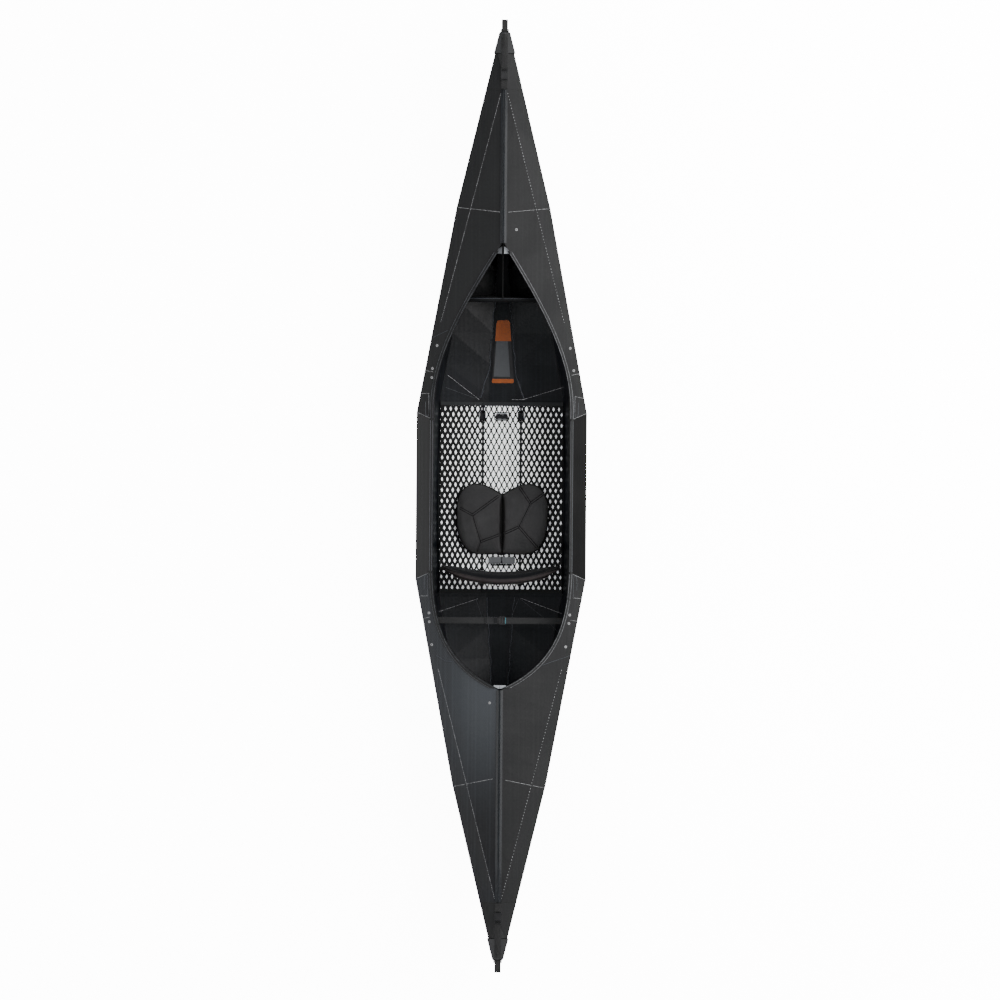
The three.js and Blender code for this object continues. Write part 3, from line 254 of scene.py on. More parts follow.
FLOAT = "NodeSocketFloat"
VECTOR = "NodeSocketVector"


def flutes_group() -> bpy.types.NodeTree:
    """Ribs of twin-wall sheet: height and a faint line mask across the flutes.

    Returns:
        The node group.
    """
    made = GroupMaker("flutes", [("Across", FLOAT, 0.0), ("Pitch", FLOAT, 0.005), ("Wander", FLOAT, 0.5)],
                      [("Height", FLOAT), ("Line", FLOAT)])
    net = made.net
    phase = net.math("DIVIDE", made.ins["Across"], made.ins["Pitch"])
    ripple = net.math("COSINE", net.times(phase, 2 * math.pi))
    net.feed(made.outs["Height"], net.math("MULTIPLY_ADD", ripple, 0.5, 0.5))
    band = net.node("ShaderNodeTexNoise", noise_dimensions="1D")
    net.feed(band.inputs["W"], phase)
    net.feed(band.inputs["Scale"], made.ins["Wander"])
    net.feed(made.outs["Line"], net.ramp(band.outputs[0], 0.42, 0.72))
    return made.tree


def handling_group() -> bpy.types.NodeTree:
    """Haze, fine grain and short scratches of handled plastic.

    Returns:
        The node group.
    """
    made = GroupMaker("handling",
                      [("Vector", VECTOR, None), ("Haze size", FLOAT, 6.0), ("Grain size", FLOAT, 900.0)],
                      [("Haze", FLOAT), ("Grain", FLOAT), ("Scratch", FLOAT)])
    net = made.net
    place = made.ins["Vector"]
    net.feed(made.outs["Haze"], net.ramp(net.noise(place, made.ins["Haze size"], 4.0, 0.6), 0.35, 0.7))
    net.feed(made.outs["Grain"], net.noise(place, made.ins["Grain size"], 2.0))
    stretched = net.scaled(place, (60.0, 9.0, 60.0))
    lines = net.noise(stretched, 2.0, 3.0, 0.7)
    patches = net.ramp(net.noise(place, 5.0, 1.0), 0.55, 0.7)
    net.feed(made.outs["Scratch"], net.times(net.ramp(lines, 0.68, 0.74), patches))
    return made.tree


def weave_group() -> bpy.types.NodeTree:
    """Woven webbing: height of its threads, along one axis and across the other, and painted shade in the
    dips between them.

    Returns:
        The node group.
    """
    made = GroupMaker("weave", [("Along", FLOAT, 0.0), ("Across", FLOAT, 0.0), ("Thread", FLOAT, 0.0016)],
                      [("Height", FLOAT), ("Shade", FLOAT)])
    net = made.net
    u = net.math("DIVIDE", made.ins["Along"], made.ins["Thread"])
    v = net.math("DIVIDE", made.ins["Across"], made.ins["Thread"])
    warp = net.math("ABSOLUTE", net.math("SINE", net.times(v, math.pi)))
    turn = net.math("MULTIPLY_ADD", net.math("FLOOR", v), math.pi, net.times(u, math.pi))
    weft = net.math("SINE", turn)
    height = net.times(warp, net.math("MULTIPLY_ADD", weft, 0.3, 0.7))
    net.feed(made.outs["Height"], height)
    net.feed(made.outs["Shade"], net.ramp(height, 0.2, 0.9))
    return made.tree


def diamonds_group() -> bpy.types.NodeTree:
    """Staggered lens shapes that grow from the board's edges to its middle.

    Returns:
        The node group.
    """
    made = GroupMaker("diamonds", [("Vector", VECTOR, None), ("Pitch across", FLOAT, 0.02165),
                                   ("Pitch along", FLOAT, 0.0433), ("Edge", FLOAT, 0.245)], [("Mask", FLOAT)])
    centre_x, first_row_y = 0.0011, 0.2392
    hinge_x, hinge_half, side_start_x = 0.0755, 0.0042, 0.085
    lens_half_share, roundness = 0.46, 1.15
    net = made.net
    x, y, _ = net.split(made.ins["Vector"])
    x = net.math("SUBTRACT", x, centre_x)
    reach = net.math("ABSOLUTE", x)
    share = net.math("DIVIDE", net.math("SUBTRACT", reach, side_start_x),
                     net.math("SUBTRACT", made.ins["Edge"], side_start_x))
    share = net.math("MINIMUM", net.math("MAXIMUM", share, 0.0), 1.0)
    side = net.math("MULTIPLY_ADD", share, -0.25, 0.648)
    middle = net.math("MULTIPLY_ADD", reach, -0.5, 0.775)
    inner = net.math("LESS_THAN", reach, hinge_x)
    fill = net.math("ADD", net.times(inner, middle), net.times(net.math("SUBTRACT", 1.0, inner), side))
    cells = []
    for stagger in (0.0, 0.5):
        u = net.math("ADD", net.math("DIVIDE", x, made.ins["Pitch across"]), stagger)
        row = net.math("SUBTRACT", y, first_row_y)
        v = net.math("ADD", net.math("DIVIDE", row, made.ins["Pitch along"]), stagger)
        du = net.math("SUBTRACT", u, net.math("ROUND", u))
        dv = net.math("SUBTRACT", v, net.math("ROUND", v))
        across, along = (
            net.math("POWER", net.math("DIVIDE", net.math("ABSOLUTE", step), lens_half_share), roundness)
            for step in (du, dv))
        cells.append(net.math("ADD", across, along))
    nearest = net.math("MINIMUM", *cells)
    inside = net.math("SUBTRACT", net.math("POWER", fill, roundness), nearest)
    hinge = net.math("LESS_THAN", net.math("ABSOLUTE", net.math("SUBTRACT", reach, hinge_x)), hinge_half)
    inside = net.math("SUBTRACT", inside, net.times(hinge, 2.0))
    net.feed(made.outs["Mask"], net.ramp(inside, -0.02, 0.03))
    return made.tree


def crosshatch_group() -> bpy.types.NodeTree:
    """Fine diagonal lattice that shows in the sheen of the sheet's outer wall; it is painted into the colour
    as part of a painted sheen.

    Returns:
        The node group.
    """
    made = GroupMaker("crosshatch", [("Vector", VECTOR, None), ("Pitch", FLOAT, 0.012)], [("Mask", FLOAT)])
    net = made.net
    x, y, _ = net.split(made.ins["Vector"])
    waves = []
    for lean in (1.0, -1.0):
        run = net.math("MULTIPLY_ADD", x, lean * 1.2, net.times(y, 0.8))
        turn = net.times(net.math("DIVIDE", run, made.ins["Pitch"]), 2 * math.pi)
        waves.append(net.math("MULTIPLY_ADD", net.math("SINE", turn), 0.5, 0.5))
    net.feed(made.outs["Mask"], net.times(*waves))
    return made.tree


class Groups:
    """The shader node groups, each built once."""

    makers: Dict[str, Callable[[], bpy.types.NodeTree]] = {
        "flutes": flutes_group, "handling": handling_group, "weave": weave_group,
        "diamonds": diamonds_group, "crosshatch": crosshatch_group,
    }
    built: Dict[str, bpy.types.NodeTree] = {}

    @classmethod
    def get(cls, name: str) -> bpy.types.NodeTree:
        """The group of that name, made on first use.

        Args:
            name: the group's name.

        Returns:
            The group.
        """
        if name not in cls.built:
            cls.built[name] = cls.makers[name]()
        return cls.built[name]


def opaque(colour: Colour, lift: float = 1.0) -> Tuple[float, ...]:
    """A colour brightened by lift, with an alpha of 1."""
    return (*(min(1.0, c * lift) for c in colour), 1.0)


@dataclass(frozen=True)
class Finish:
    """Base of all finishes: a named Principled material with a colour and a roughness."""

    name: str
    colour: Colour
    roughness: float
    specular: float = 0.2

    def build(self) -> bpy.types.Material:
        """The material, made on first use.

        Returns:
            The material.
        """
        found = bpy.data.materials.get(self.name)
        if found:
            return found
        made = bpy.data.materials.new(self.name)
        made.use_nodes = True
        net = Net(made.node_tree)
        shader = made.node_tree.nodes["Principled BSDF"]
        shader.inputs["Base Color"].default_value = opaque(self.colour)
        shader.inputs["Roughness"].default_value = self.roughness
        shader.inputs["Specular IOR Level"].default_value = self.specular
        made.diffuse_color = opaque(self.colour)
        self.dress(net, shader)
        return made

    def dress(self, net: Net, shader: bpy.types.Node) -> None:
        """Adds the finish's own nodes to its material."""

    @staticmethod
    def place(net: Net) -> bpy.types.NodeSocket:
        """Object coordinates."""
        return net.node("ShaderNodeTexCoord").outputs["Object"]

    @staticmethod
    def facing(net: Net) -> List[bpy.types.NodeSocket]:
        """The three parts of the face's own normal."""
        return net.split(net.node("ShaderNodeNewGeometry").outputs["True Normal"])

    @staticmethod
    def group(net: Net, name: str, **values: object) -> bpy.types.Node:
        """A shared node group placed in this material, with its inputs set.

        Args:
            net: the material's net.
            name: the group's name.
            values: the group's inputs, with underscores for spaces.

        Returns:
            The group's node.
        """
        made = net.node("ShaderNodeGroup")
        made.node_tree = Groups.get(name)
        for label, value in values.items():
            net.feed(made.inputs[label.replace("_", " ")], value)
        return made

    @staticmethod
    def bump(net: Net, shader: bpy.types.Node, height: object, depth: float) -> None:
        """Feeds a height to the shader's normal.

        Args:
            net: the material's net.
            shader: the material's shader.
            height: the height, from 0 to about 1.
            depth: the depth that a height of 1 stands for, in metres.
        """
        made = net.node("ShaderNodeBump")
        made.inputs["Distance"].default_value = depth
        net.feed(made.inputs["Height"], height)
        net.feed(shader.inputs["Normal"], made.outputs[0])

    def paint(self, net: Net, shader: bpy.types.Node, shade: object, mask: object, dulling: float) -> None:
        """Feeds the shader's colour, and its roughness, which a mask raises.

        Args:
            net: the material's net.
            shader: the material's shader.
            shade: the colour.
            mask: the mask.
            dulling: how much rougher the finish is where the mask is 1.
        """
        net.feed(shader.inputs["Base Color"], shade)
        rough = net.math("MULTIPLY_ADD", mask, dulling, self.roughness)
        net.feed(shader.inputs["Roughness"], rough)

    def shades(self, net: Net, mask: object, lift: float) -> bpy.types.NodeSocket:
        """The finish's colour, brightened by lift where the mask is 1."""
        return net.mix(mask, opaque(self.colour), opaque(self.colour, lift))


@dataclass(frozen=True)
class SheetFinish(Finish):
    """Twin-wall plastic sheet with flutes, haze, grain and scratches, with painted shade on its inner faces
    and at the bow's inner left.
    """

    pitch: float = 0.005
    line_lift: float = 1.5
    tint: Optional[Colour] = None
    hatch: float = 0.0
    hatch_pitch: float = 0.011
    outside: Optional[Colour] = None
    bow_shade: float = 0.0
    shade_colour: Colour = (0.0006, 0.0007, 0.0009)

    def dress(self, net: Net, shader: bpy.types.Node) -> None:
        """Flutes give lines and bump; haze and scratches lighten the sheet."""
        place = self.place(net)
        x, y, z = net.split(place)
        flutes = self.group(net, "flutes", Across=x, Pitch=self.pitch)
        wear = self.group(net, "handling", Vector=place)
        mask = net.times(flutes.outputs["Line"], 0.6)
        mask = net.math("ADD", mask, net.times(wear.outputs["Haze"], 0.5))
        mask = net.math("ADD", mask, net.times(wear.outputs["Scratch"], 0.5), clamp=True)
        # Painted sheen with a diagonal lattice.
        if self.hatch:
            mask = self.hatched(net, mask, place)
        target = opaque(self.tint) if self.tint else opaque(self.colour, self.line_lift)
        shade = net.mix(mask, opaque(self.colour), target)
        # Faces that look into the boat keep the darker colour as painted shade; the other faces take the
        # outside colour.
        if self.outside:
            outer = net.mix(mask, opaque(self.outside), opaque(self.outside, self.line_lift))
            shade = net.mix(self.facing_in(net, x, z), outer, shade)
        # Painted shade on the left of the bow's inner bottom.
        if self.bow_shade:
            shade = self.shaded(net, shade, x, y, z)
        self.paint(net, shader, shade, wear.outputs["Haze"], 0.12)
        height = net.math("MULTIPLY_ADD", wear.outputs["Grain"], 0.25, flutes.outputs["Height"])
        self.bump(net, shader, height, 0.00012)

    def hatched(self, net: Net, mask: object, place: bpy.types.NodeSocket) -> bpy.types.NodeSocket:
        """The mask with a painted sheen: a lighter patch and a diagonal lattice that fade towards the stern
        and the left edge.

        Args:
            net: the material's net.
            mask: the mask of the flutes and the wear.
            place: object coordinates.

        Returns:
            The new mask.
        """
        x, y, _ = net.split(place)
        cross = self.group(net, "crosshatch", Vector=place, Pitch=self.hatch_pitch)
        sheen = net.times(net.ramp(y, -1.32, -0.76), net.ramp(x, -0.24, -0.06, 0.3, 1.0))
        lattice = net.times(cross.outputs["Mask"], net.ramp(y, -1.1, -0.75))
        mask = net.math("MULTIPLY_ADD", lattice, self.hatch, net.times(mask, 0.25))
        return net.math("MULTIPLY_ADD", sheen, 0.8, mask, clamp=True)

    @staticmethod
    def facing_in(net: Net, x: bpy.types.NodeSocket, z: bpy.types.NodeSocket) -> bpy.types.NodeSocket:
        """Mask of the faces that look up and into the boat, which keep the darker colour as painted shade.

        Args:
            net: the material's net.
            x: the place across the boat.
            z: the height.

        Returns:
            The mask.
        """
        lean, bottom_z = -0.3, 0.1
        lean_x, _, up = Finish.facing(net)
        inward = net.math("LESS_THAN", net.times(lean_x, net.math("SIGN", x)), lean)
        return net.times(net.math("GREATER_THAN", up, 0.0),
                         net.math("MAXIMUM", inward, net.math("LESS_THAN", z, bottom_z)))

    def shaded(self, net: Net, shade: object, x: bpy.types.NodeSocket, y: bpy.types.NodeSocket,
               z: bpy.types.NodeSocket) -> bpy.types.NodeSocket:
        """The colour, with painted shade on the left of the bow's inner bottom.

        Args:
            net: the material's net.
            shade: the colour.
            x: the place across the boat.
            y: the place along the boat.
            z: the height.

        Returns:
            The new colour.
        """
        edge_x, top_z = -0.015, 0.25
        deep = net.times(net.ramp(y, 0.44, 0.74), net.math("LESS_THAN", x, edge_x))
        deep = net.times(deep, net.math("LESS_THAN", z, top_z))
        return net.mix(net.times(deep, self.bow_shade), shade, opaque(self.shade_colour))


@dataclass(frozen=True)
class MouldedFinish(Finish):
    """Moulded or extruded plastic with a fine grain."""

    grain: float = 0.00006
    lift: float = 1.5
    left_lift: float = 1.0

    def dress(self, net: Net, shader: bpy.types.Node) -> None:
        """Grain gives bump; haze lightens the colour and dulls the gloss."""
        place = self.place(net)
        wear = self.group(net, "handling", Vector=place, Haze_size=14.0, Grain_size=1500.0)
        mask = net.math("MULTIPLY_ADD", wear.outputs["Scratch"], 0.6,
                        net.times(wear.outputs["Haze"], 0.6), clamp=True)
        shade = self.shades(net, mask, self.lift)
        # Faces that look left are painted lighter: painted light.
        if self.left_lift != 1.0:
            lit_leftward = net.math("LESS_THAN", self.facing(net)[0], -0.15)
            shade = net.mix(lit_leftward, shade, opaque(self.colour, self.left_lift))
        self.paint(net, shader, shade, wear.outputs["Haze"], 0.1)
        self.bump(net, shader, wear.outputs["Grain"], self.grain)


@dataclass(frozen=True)
class RailFinish(Finish):
    """Extruded channel with lines drawn along it."""

    tint: Colour = (0.03, 0.05, 0.08)

    def dress(self, net: Net, shader: bpy.types.Node) -> None:
        """Drawn lines vary across the rail and hardly along it."""
        place = self.place(net)
        drawn = net.noise(net.scaled(place, (700.0, 1.5, 700.0)), 1.0, 3.0, 0.6)
        shade = net.mix(net.ramp(drawn, 0.4, 0.7), opaque(self.colour), opaque(self.tint))
        net.feed(shader.inputs["Base Color"], shade)
        net.feed(shader.inputs["Roughness"], net.math("MULTIPLY_ADD", drawn, 0.2, self.roughness - 0.1))
        self.bump(net, shader, drawn, 0.0002)


@dataclass(frozen=True)
class WebbingFinish(Finish):
    """Woven webbing whose threads run along one axis of the object."""

    along: Run = Run.ALONG_Y
    thread: float = 0.0016
    lift: float = 2.2

    def dress(self, net: Net, shader: bpy.types.Node) -> None:
        """The weave gives painted shade and bump, fuzz breaks it up."""
        place = self.place(net)
        x, y, z = net.split(place)
        tall = net.math("ADD", y, z)
        lines = (tall, x) if self.along is Run.ALONG_Y else (x, tall)
        weave = self.group(net, "weave", Along=lines[0], Across=lines[1], Thread=self.thread)
        fuzz = net.noise(place, 2500.0, 2.0)
        # Thread crowns lighter and dips darker: painted shade.
        shade = net.math("MULTIPLY", weave.outputs["Shade"], net.math("ADD", fuzz, 0.4), clamp=True)
        net.feed(shader.inputs["Base Color"], self.shades(net, shade, self.lift))
        shader.inputs["Sheen Weight"].default_value = 0.02
        self.bump(net, shader, net.math("MULTIPLY_ADD", fuzz, 0.3, weave.outputs["Height"]), 0.0004)


@dataclass(frozen=True)
class FoamFinish(Finish):
    """Moulded foam with a knitted face."""

    knit: float = 700.0
    wall: float = 1.0

    def dress(self, net: Net, shader: bpy.types.Node) -> None:
        """Tiny knit cells and soft, broad changes of tone, with painted shade on steep walls."""
        place = self.place(net)
        cells = net.node("ShaderNodeTexVoronoi")
        net.feed(cells.inputs["Vector"], place)
        cells.inputs["Scale"].default_value = self.knit
        broad = net.ramp(net.noise(place, 9.0, 3.0), 0.35, 0.7)
        fuzz = net.noise(place, 1800.0, 2.0)
        mask = net.math("MULTIPLY_ADD", fuzz, 0.4, net.times(broad, 0.5), clamp=True)
        shade = self.shades(net, mask, 1.8)
        # Steep walls are painted darker: painted shade.
        if self.wall != 1.0:
            up = self.facing(net)[2]
            shade = net.mix(net.ramp(up, 0.55, 0.86), opaque(self.colour, self.wall), shade)
        net.feed(shader.inputs["Base Color"], shade)
        shader.inputs["Sheen Weight"].default_value = 0.015
        self.bump(net, shader, cells.outputs["Distance"], 0.0003)


@dataclass(frozen=True)
class PrintedBoardFinish(Finish):
    """Black board with a white print of staggered diamonds."""

    print_colour: Colour = (0.90, 0.915, 0.915)
    lip: Colour = (0.011, 0.0118, 0.0125)
    lip_y: float = 0.3615

    def dress(self, net: Net, shader: bpy.types.Node) -> None:
        """The print shows only on faces that look up."""
        place = self.place(net)
        diamonds = self.group(net, "diamonds", Vector=place)
        _, y, _ = net.split(place)
        inside = net.times(net.ramp(y, 0.361, 0.3595), net.ramp(y, -0.373, -0.3715))
        wear = self.group(net, "handling", Vector=place, Haze_size=10.0)
        up = self.facing(net)[2]
        mask = net.times(diamonds.outputs["Mask"], net.ramp(up, 0.6, 0.9))
        mask = net.times(mask, inside)
        worn = net.times(mask, net.math("MULTIPLY_ADD", wear.outputs["Haze"], -0.15, 1.0))
        bare = net.mix(net.math("GREATER_THAN", y, self.lip_y), opaque(self.colour), opaque(self.lip))
        self.paint(net, shader, net.mix(worn, bare, opaque(self.print_colour)), mask, 0.15)
        self.bump(net, shader, net.math("MULTIPLY_ADD", mask, 0.6, wear.outputs["Grain"]), 0.0001)


@dataclass(frozen=True)
class PlateFinish(Finish):
    """Plain plate with coloured ends and a grey field that narrows forwards."""

    band: Colour = (0.185, 0.043, 0.0055)
    field: Colour = (0.036, 0.038, 0.041)
    rear_band: float = 0.4685
    front_field: float = 0.4770
    field_half: float = 0.0335
    field_taper: float = -0.0702
    field_x: float = -0.001
    front_band: float = 0.6195

    def dress(self, net: Net, shader: bpy.types.Node) -> None:
        """Bands cross the plate at fixed stations."""
        place = self.place(net)
        x, y, _ = net.split(place)
        ends = net.math("MAXIMUM", net.math("LESS_THAN", y, self.rear_band),
                        net.math("GREATER_THAN", y, self.front_band))
        wear = self.group(net, "handling", Vector=place, Haze_size=20.0)
        bright = net.mix(wear.outputs["Haze"], opaque(self.band), opaque(self.band, 0.85))
        field_mask = net.times(net.math("GREATER_THAN", y, self.front_field),
                              net.math("SUBTRACT", 1.0, ends))
        ahead = net.math("SUBTRACT", y, self.rear_band)
        half = net.math("MULTIPLY_ADD", ahead, self.field_taper, self.field_half)
        reach = net.math("ABSOLUTE", net.math("SUBTRACT", x, self.field_x))
        field_mask = net.times(field_mask, net.math("LESS_THAN", reach, half))
        grey = net.mix(field_mask, opaque(self.colour), opaque(self.field))
        net.feed(shader.inputs["Base Color"], net.mix(ends, grey, bright))
        self.bump(net, shader, wear.outputs["Grain"], 0.00005)


# Hull sheet: its own colour is painted dark for the inside of the boat as painted shade, with more painted
# shade at the bow's inner left; the outside colour is its colour on the outer faces.
SHEET = SheetFinish("hull_sheet", (0.0017, 0.0020, 0.0026), 0.32, 0.12, line_lift=1.5,
                    tint=(0.0042, 0.0050, 0.0066), outside=(0.0070, 0.0072, 0.0075), bow_shade=0.75)
DECK = SheetFinish("deck_sheet", (0.0047, 0.0048, 0.0049), 0.5, 0.1, line_lift=1.4)
# One sheet on both flaps, painted lighter on the left as painted light and darker on the right as painted
# shade.
FLAP_LEFT_PAINTED_LIGHT = SheetFinish("flap_sheet_left", (0.0100, 0.0100, 0.0100), 0.5, 0.1, line_lift=1.3)
FLAP_RIGHT_PAINTED_SHADE = SheetFinish("flap_sheet_right", (0.0014, 0.0014, 0.0014), 0.5, 0.055, line_lift=1.3)
# The stern's left leaf: its lighter bluish tint near the cockpit and its lattice are a painted sheen.
DECK_PAINTED_SHEEN = SheetFinish("deck_sheet_hatched", (0.0024, 0.0024, 0.0028), 0.42, 0.1,
                           tint=(0.0222, 0.0246, 0.0280), hatch=0.3)
TRIM = MouldedFinish("edge_trim", (0.0034, 0.0035, 0.0036), 0.4, 0.1)
RAIL = RailFinish("deck_rail", (0.0028, 0.0032, 0.0037), 0.32, 0.13, tint=(0.0085, 0.0100, 0.0120))
# End caps: their left-looking faces are painted lighter as painted light.
CAP = MouldedFinish("end_cap", (0.0096, 0.0098, 0.0101), 0.5, 0.1, left_lift=1.7)
WEBBING = WebbingFinish("woven_webbing", (0.0075, 0.0075, 0.0075), 0.85, 0.1)
WEBBING_ACROSS = WebbingFinish("woven_webbing_across", (0.0088, 0.0088, 0.0090), 0.85, 0.1, along=Run.ALONG_X)
CORD = WebbingFinish("cord", (0.0035, 0.0035, 0.0035), 0.8, 0.1, thread=0.0009)
BUCKLE = MouldedFinish("buckle_moulding", (0.0028, 0.0028, 0.0030), 0.3, 0.3, grain=0.00003)
GLOSS = MouldedFinish("gloss_moulding", (0.0011, 0.0012, 0.0015), 0.35, 0.1, grain=0.00001)
LINK = MouldedFinish("link_plate", (0.042, 0.0445, 0.047), 0.4, 0.25)
BOARD = PrintedBoardFinish("printed_board", (0.0014, 0.0015, 0.0017), 0.32, 0.12)
BOARD_PLAIN = MouldedFinish("plain_board", (0.0075, 0.0066, 0.0068), 0.5, 0.1)
# Seat foam: its steep walls are painted darker as painted shade.
FOAM = FoamFinish("seat_foam", (0.0146, 0.0143, 0.0146), 0.85, 0.08, wall=0.12)
# Backrest pad: the near-black front is painted shade; the rim colour is the pad's own.
PAD_FRONT_PAINTED_SHADE = FoamFinish("pad_front_painted_shade", (0.0016, 0.0017, 0.0023), 0.8, 0.05)
PAD_RIM = FoamFinish("pad_rim", (0.0120, 0.0100, 0.0102), 0.8, 0.08)
WHITENED = MouldedFinish("whitened_crease", (0.15, 0.15, 0.154), 0.6)
# Dim pale finish: real whitened creases, and also the painted highlights along the flaps' and left leaves'
# trims.
DIM_CREASE_AND_HIGHLIGHT = MouldedFinish("dim_crease_and_highlight", (0.036, 0.038, 0.042), 0.6)
# Soft pale finish: the painted highlights along the right leaves' trims, and the grip's grey lip.
SOFT_HIGHLIGHT_AND_LIP = MouldedFinish("soft_highlight_and_lip", (0.070, 0.071, 0.075), 0.6)
# Faint pale finish: real whitened creases, and also the foot bar's painted highlight.
FAINT_CREASE_AND_GLEAM = MouldedFinish("faint_crease", (0.0170, 0.0190, 0.0235), 0.5)
# Near-black finish for cords and frames, also used for painted shade: the seat's channel lines, the cap's rim
# line, the grip's shadow line and the rivets' hollows.
PRESSED_AND_PAINTED_SHADE = MouldedFinish("pressed_line", (0.0006, 0.0006, 0.0007), 0.9, 0.02)
RIVET = MouldedFinish("rivet", (0.13, 0.13, 0.132), 0.35, 0.3)
CLEAR = MouldedFinish("frosted_plate", (0.19, 0.20, 0.21), 0.35, lift=1.15)
CLEAR_GREY = MouldedFinish("smoked_plate", (0.040, 0.042, 0.045), 0.4, lift=1.15)
TEAL = MouldedFinish("teal_thread", (0.04, 0.16, 0.19), 0.7)
THREAD = MouldedFinish("thread", (0.0085, 0.0082, 0.0082), 0.8, 0.05)
PLATE = PlateFinish("label_plate", (0.005, 0.005, 0.0055), 0.4)


def dress_nodes(finish: Finish, *names: str) -> None:
    """Gives CAD nodes a finish.

    Args:
        finish: the finish.
        names: the nodes' names.
    """
    made = finish.build()
    for name in names:
        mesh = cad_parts[name].data
        mesh.materials.clear()
        mesh.materials.append(made)


# Shared building of meshes


def new_piece(name: str, mesh: bpy.types.Mesh, finish: Finish) -> bpy.types.Object:
    """An object at the origin with one mesh and one finish.

    Args:
        name: the piece's name.
        mesh: its mesh, in the boat's own place.
        finish: its finish.

    Returns:
        The object.
    """
    made = bpy.data.objects.new(name, mesh)
    bpy.context.scene.collection.objects.link(made)
    if not mesh.materials:
        mesh.materials.append(finish.build())
    return made


def mesh_from(name: str, build: bmesh.types.BMesh) -> bpy.types.Mesh:
    """A mesh from a bmesh, with faces turned out.

    Args:
        name: the mesh's name.
        build: the bmesh, which is freed.

    Returns:
        The mesh.
    """
    bmesh.ops.recalc_face_normals(build, faces=build.faces[:])
    made = bpy.data.meshes.new(name)
    build.to_mesh(made)
    build.free()
    return made


def lofted(name: str, rings: Sequence[Sequence[Vector]], smooth: bool = True,
           split_caps: bool = False) -> bpy.types.Mesh:
    """A closed mesh through rings with equally many points.

    Args:
        name: the mesh's name.
        rings: the rings, in order.
        smooth: whether its faces are smooth.
        split_caps: whether its two end faces are split into triangles.

    Returns:
        The mesh.
    """
    build = bmesh.new()
    rows = [[build.verts.new(p) for p in ring] for ring in rings]
    count = len(rows[0])
    for low, high in zip(rows, rows[1:]):
        for i in range(count):
            build.faces.new((low[i], low[(i + 1) % count], high[(i + 1) % count], high[i]))
    build.faces.new(rows[0])
    build.faces.new(rows[-1])
    for face in build.faces:
        face.smooth = smooth and len(face.verts) == 4
    if split_caps:
        bmesh.ops.triangulate(build, faces=[face for face in build.faces if len(face.verts) > 4])
    return mesh_from(name, build)


def add_bar(build: bmesh.types.BMesh, size: Sequence[float], place: Sequence[float]) -> None:
    """Adds a square bar to a mesh that is being built.

    Args:
        build: the mesh.
        size: the bar's length on each axis.
        place: its middle.
    """
    made = bmesh.ops.create_cube(build, size=1.0)["verts"]
    bmesh.ops.scale(build, vec=Vector(size), verts=made)
    bmesh.ops.translate(build, vec=Vector(place), verts=made)


def applied(piece: bpy.types.Object) -> None:
    """Applies all modifiers of a piece to its mesh."""
    graph = bpy.context.evaluated_depsgraph_get()
    mesh = bpy.data.meshes.new_from_object(piece.evaluated_get(graph))
    piece.modifiers.clear()
    old = piece.data
    piece.data = mesh
    bpy.data.meshes.remove(old)


def soften(node: str, name: str, finish: Finish, body: str, width: float = 0.0006) -> None:
    """Makes a copy of a webbing node with rounded edges, which stands for it.

    Args:
        node: the node's name.
        name: the piece's name.
        finish: its finish.
        body: the body that it rides on.
        width: width of the rounding, in metres.
    """
    build = bmesh.new()
    build.from_mesh(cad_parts[node].data)
    bmesh.ops.remove_doubles(build, verts=build.verts, dist=1e-5)
    bmesh.ops.dissolve_limit(build, angle_limit=math.radians(1), verts=build.verts, edges=build.edges)
    piece = new_piece(name, mesh_from(name, build), finish)
    bevel = piece.modifiers.new("rounded", "BEVEL")
    bevel.width = width
    bevel.segments = 2
    bevel.limit_method = "ANGLE"
    applied(piece)
    for face in piece.data.polygons:
        face.use_smooth = False
    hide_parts(node)
    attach(piece, body)


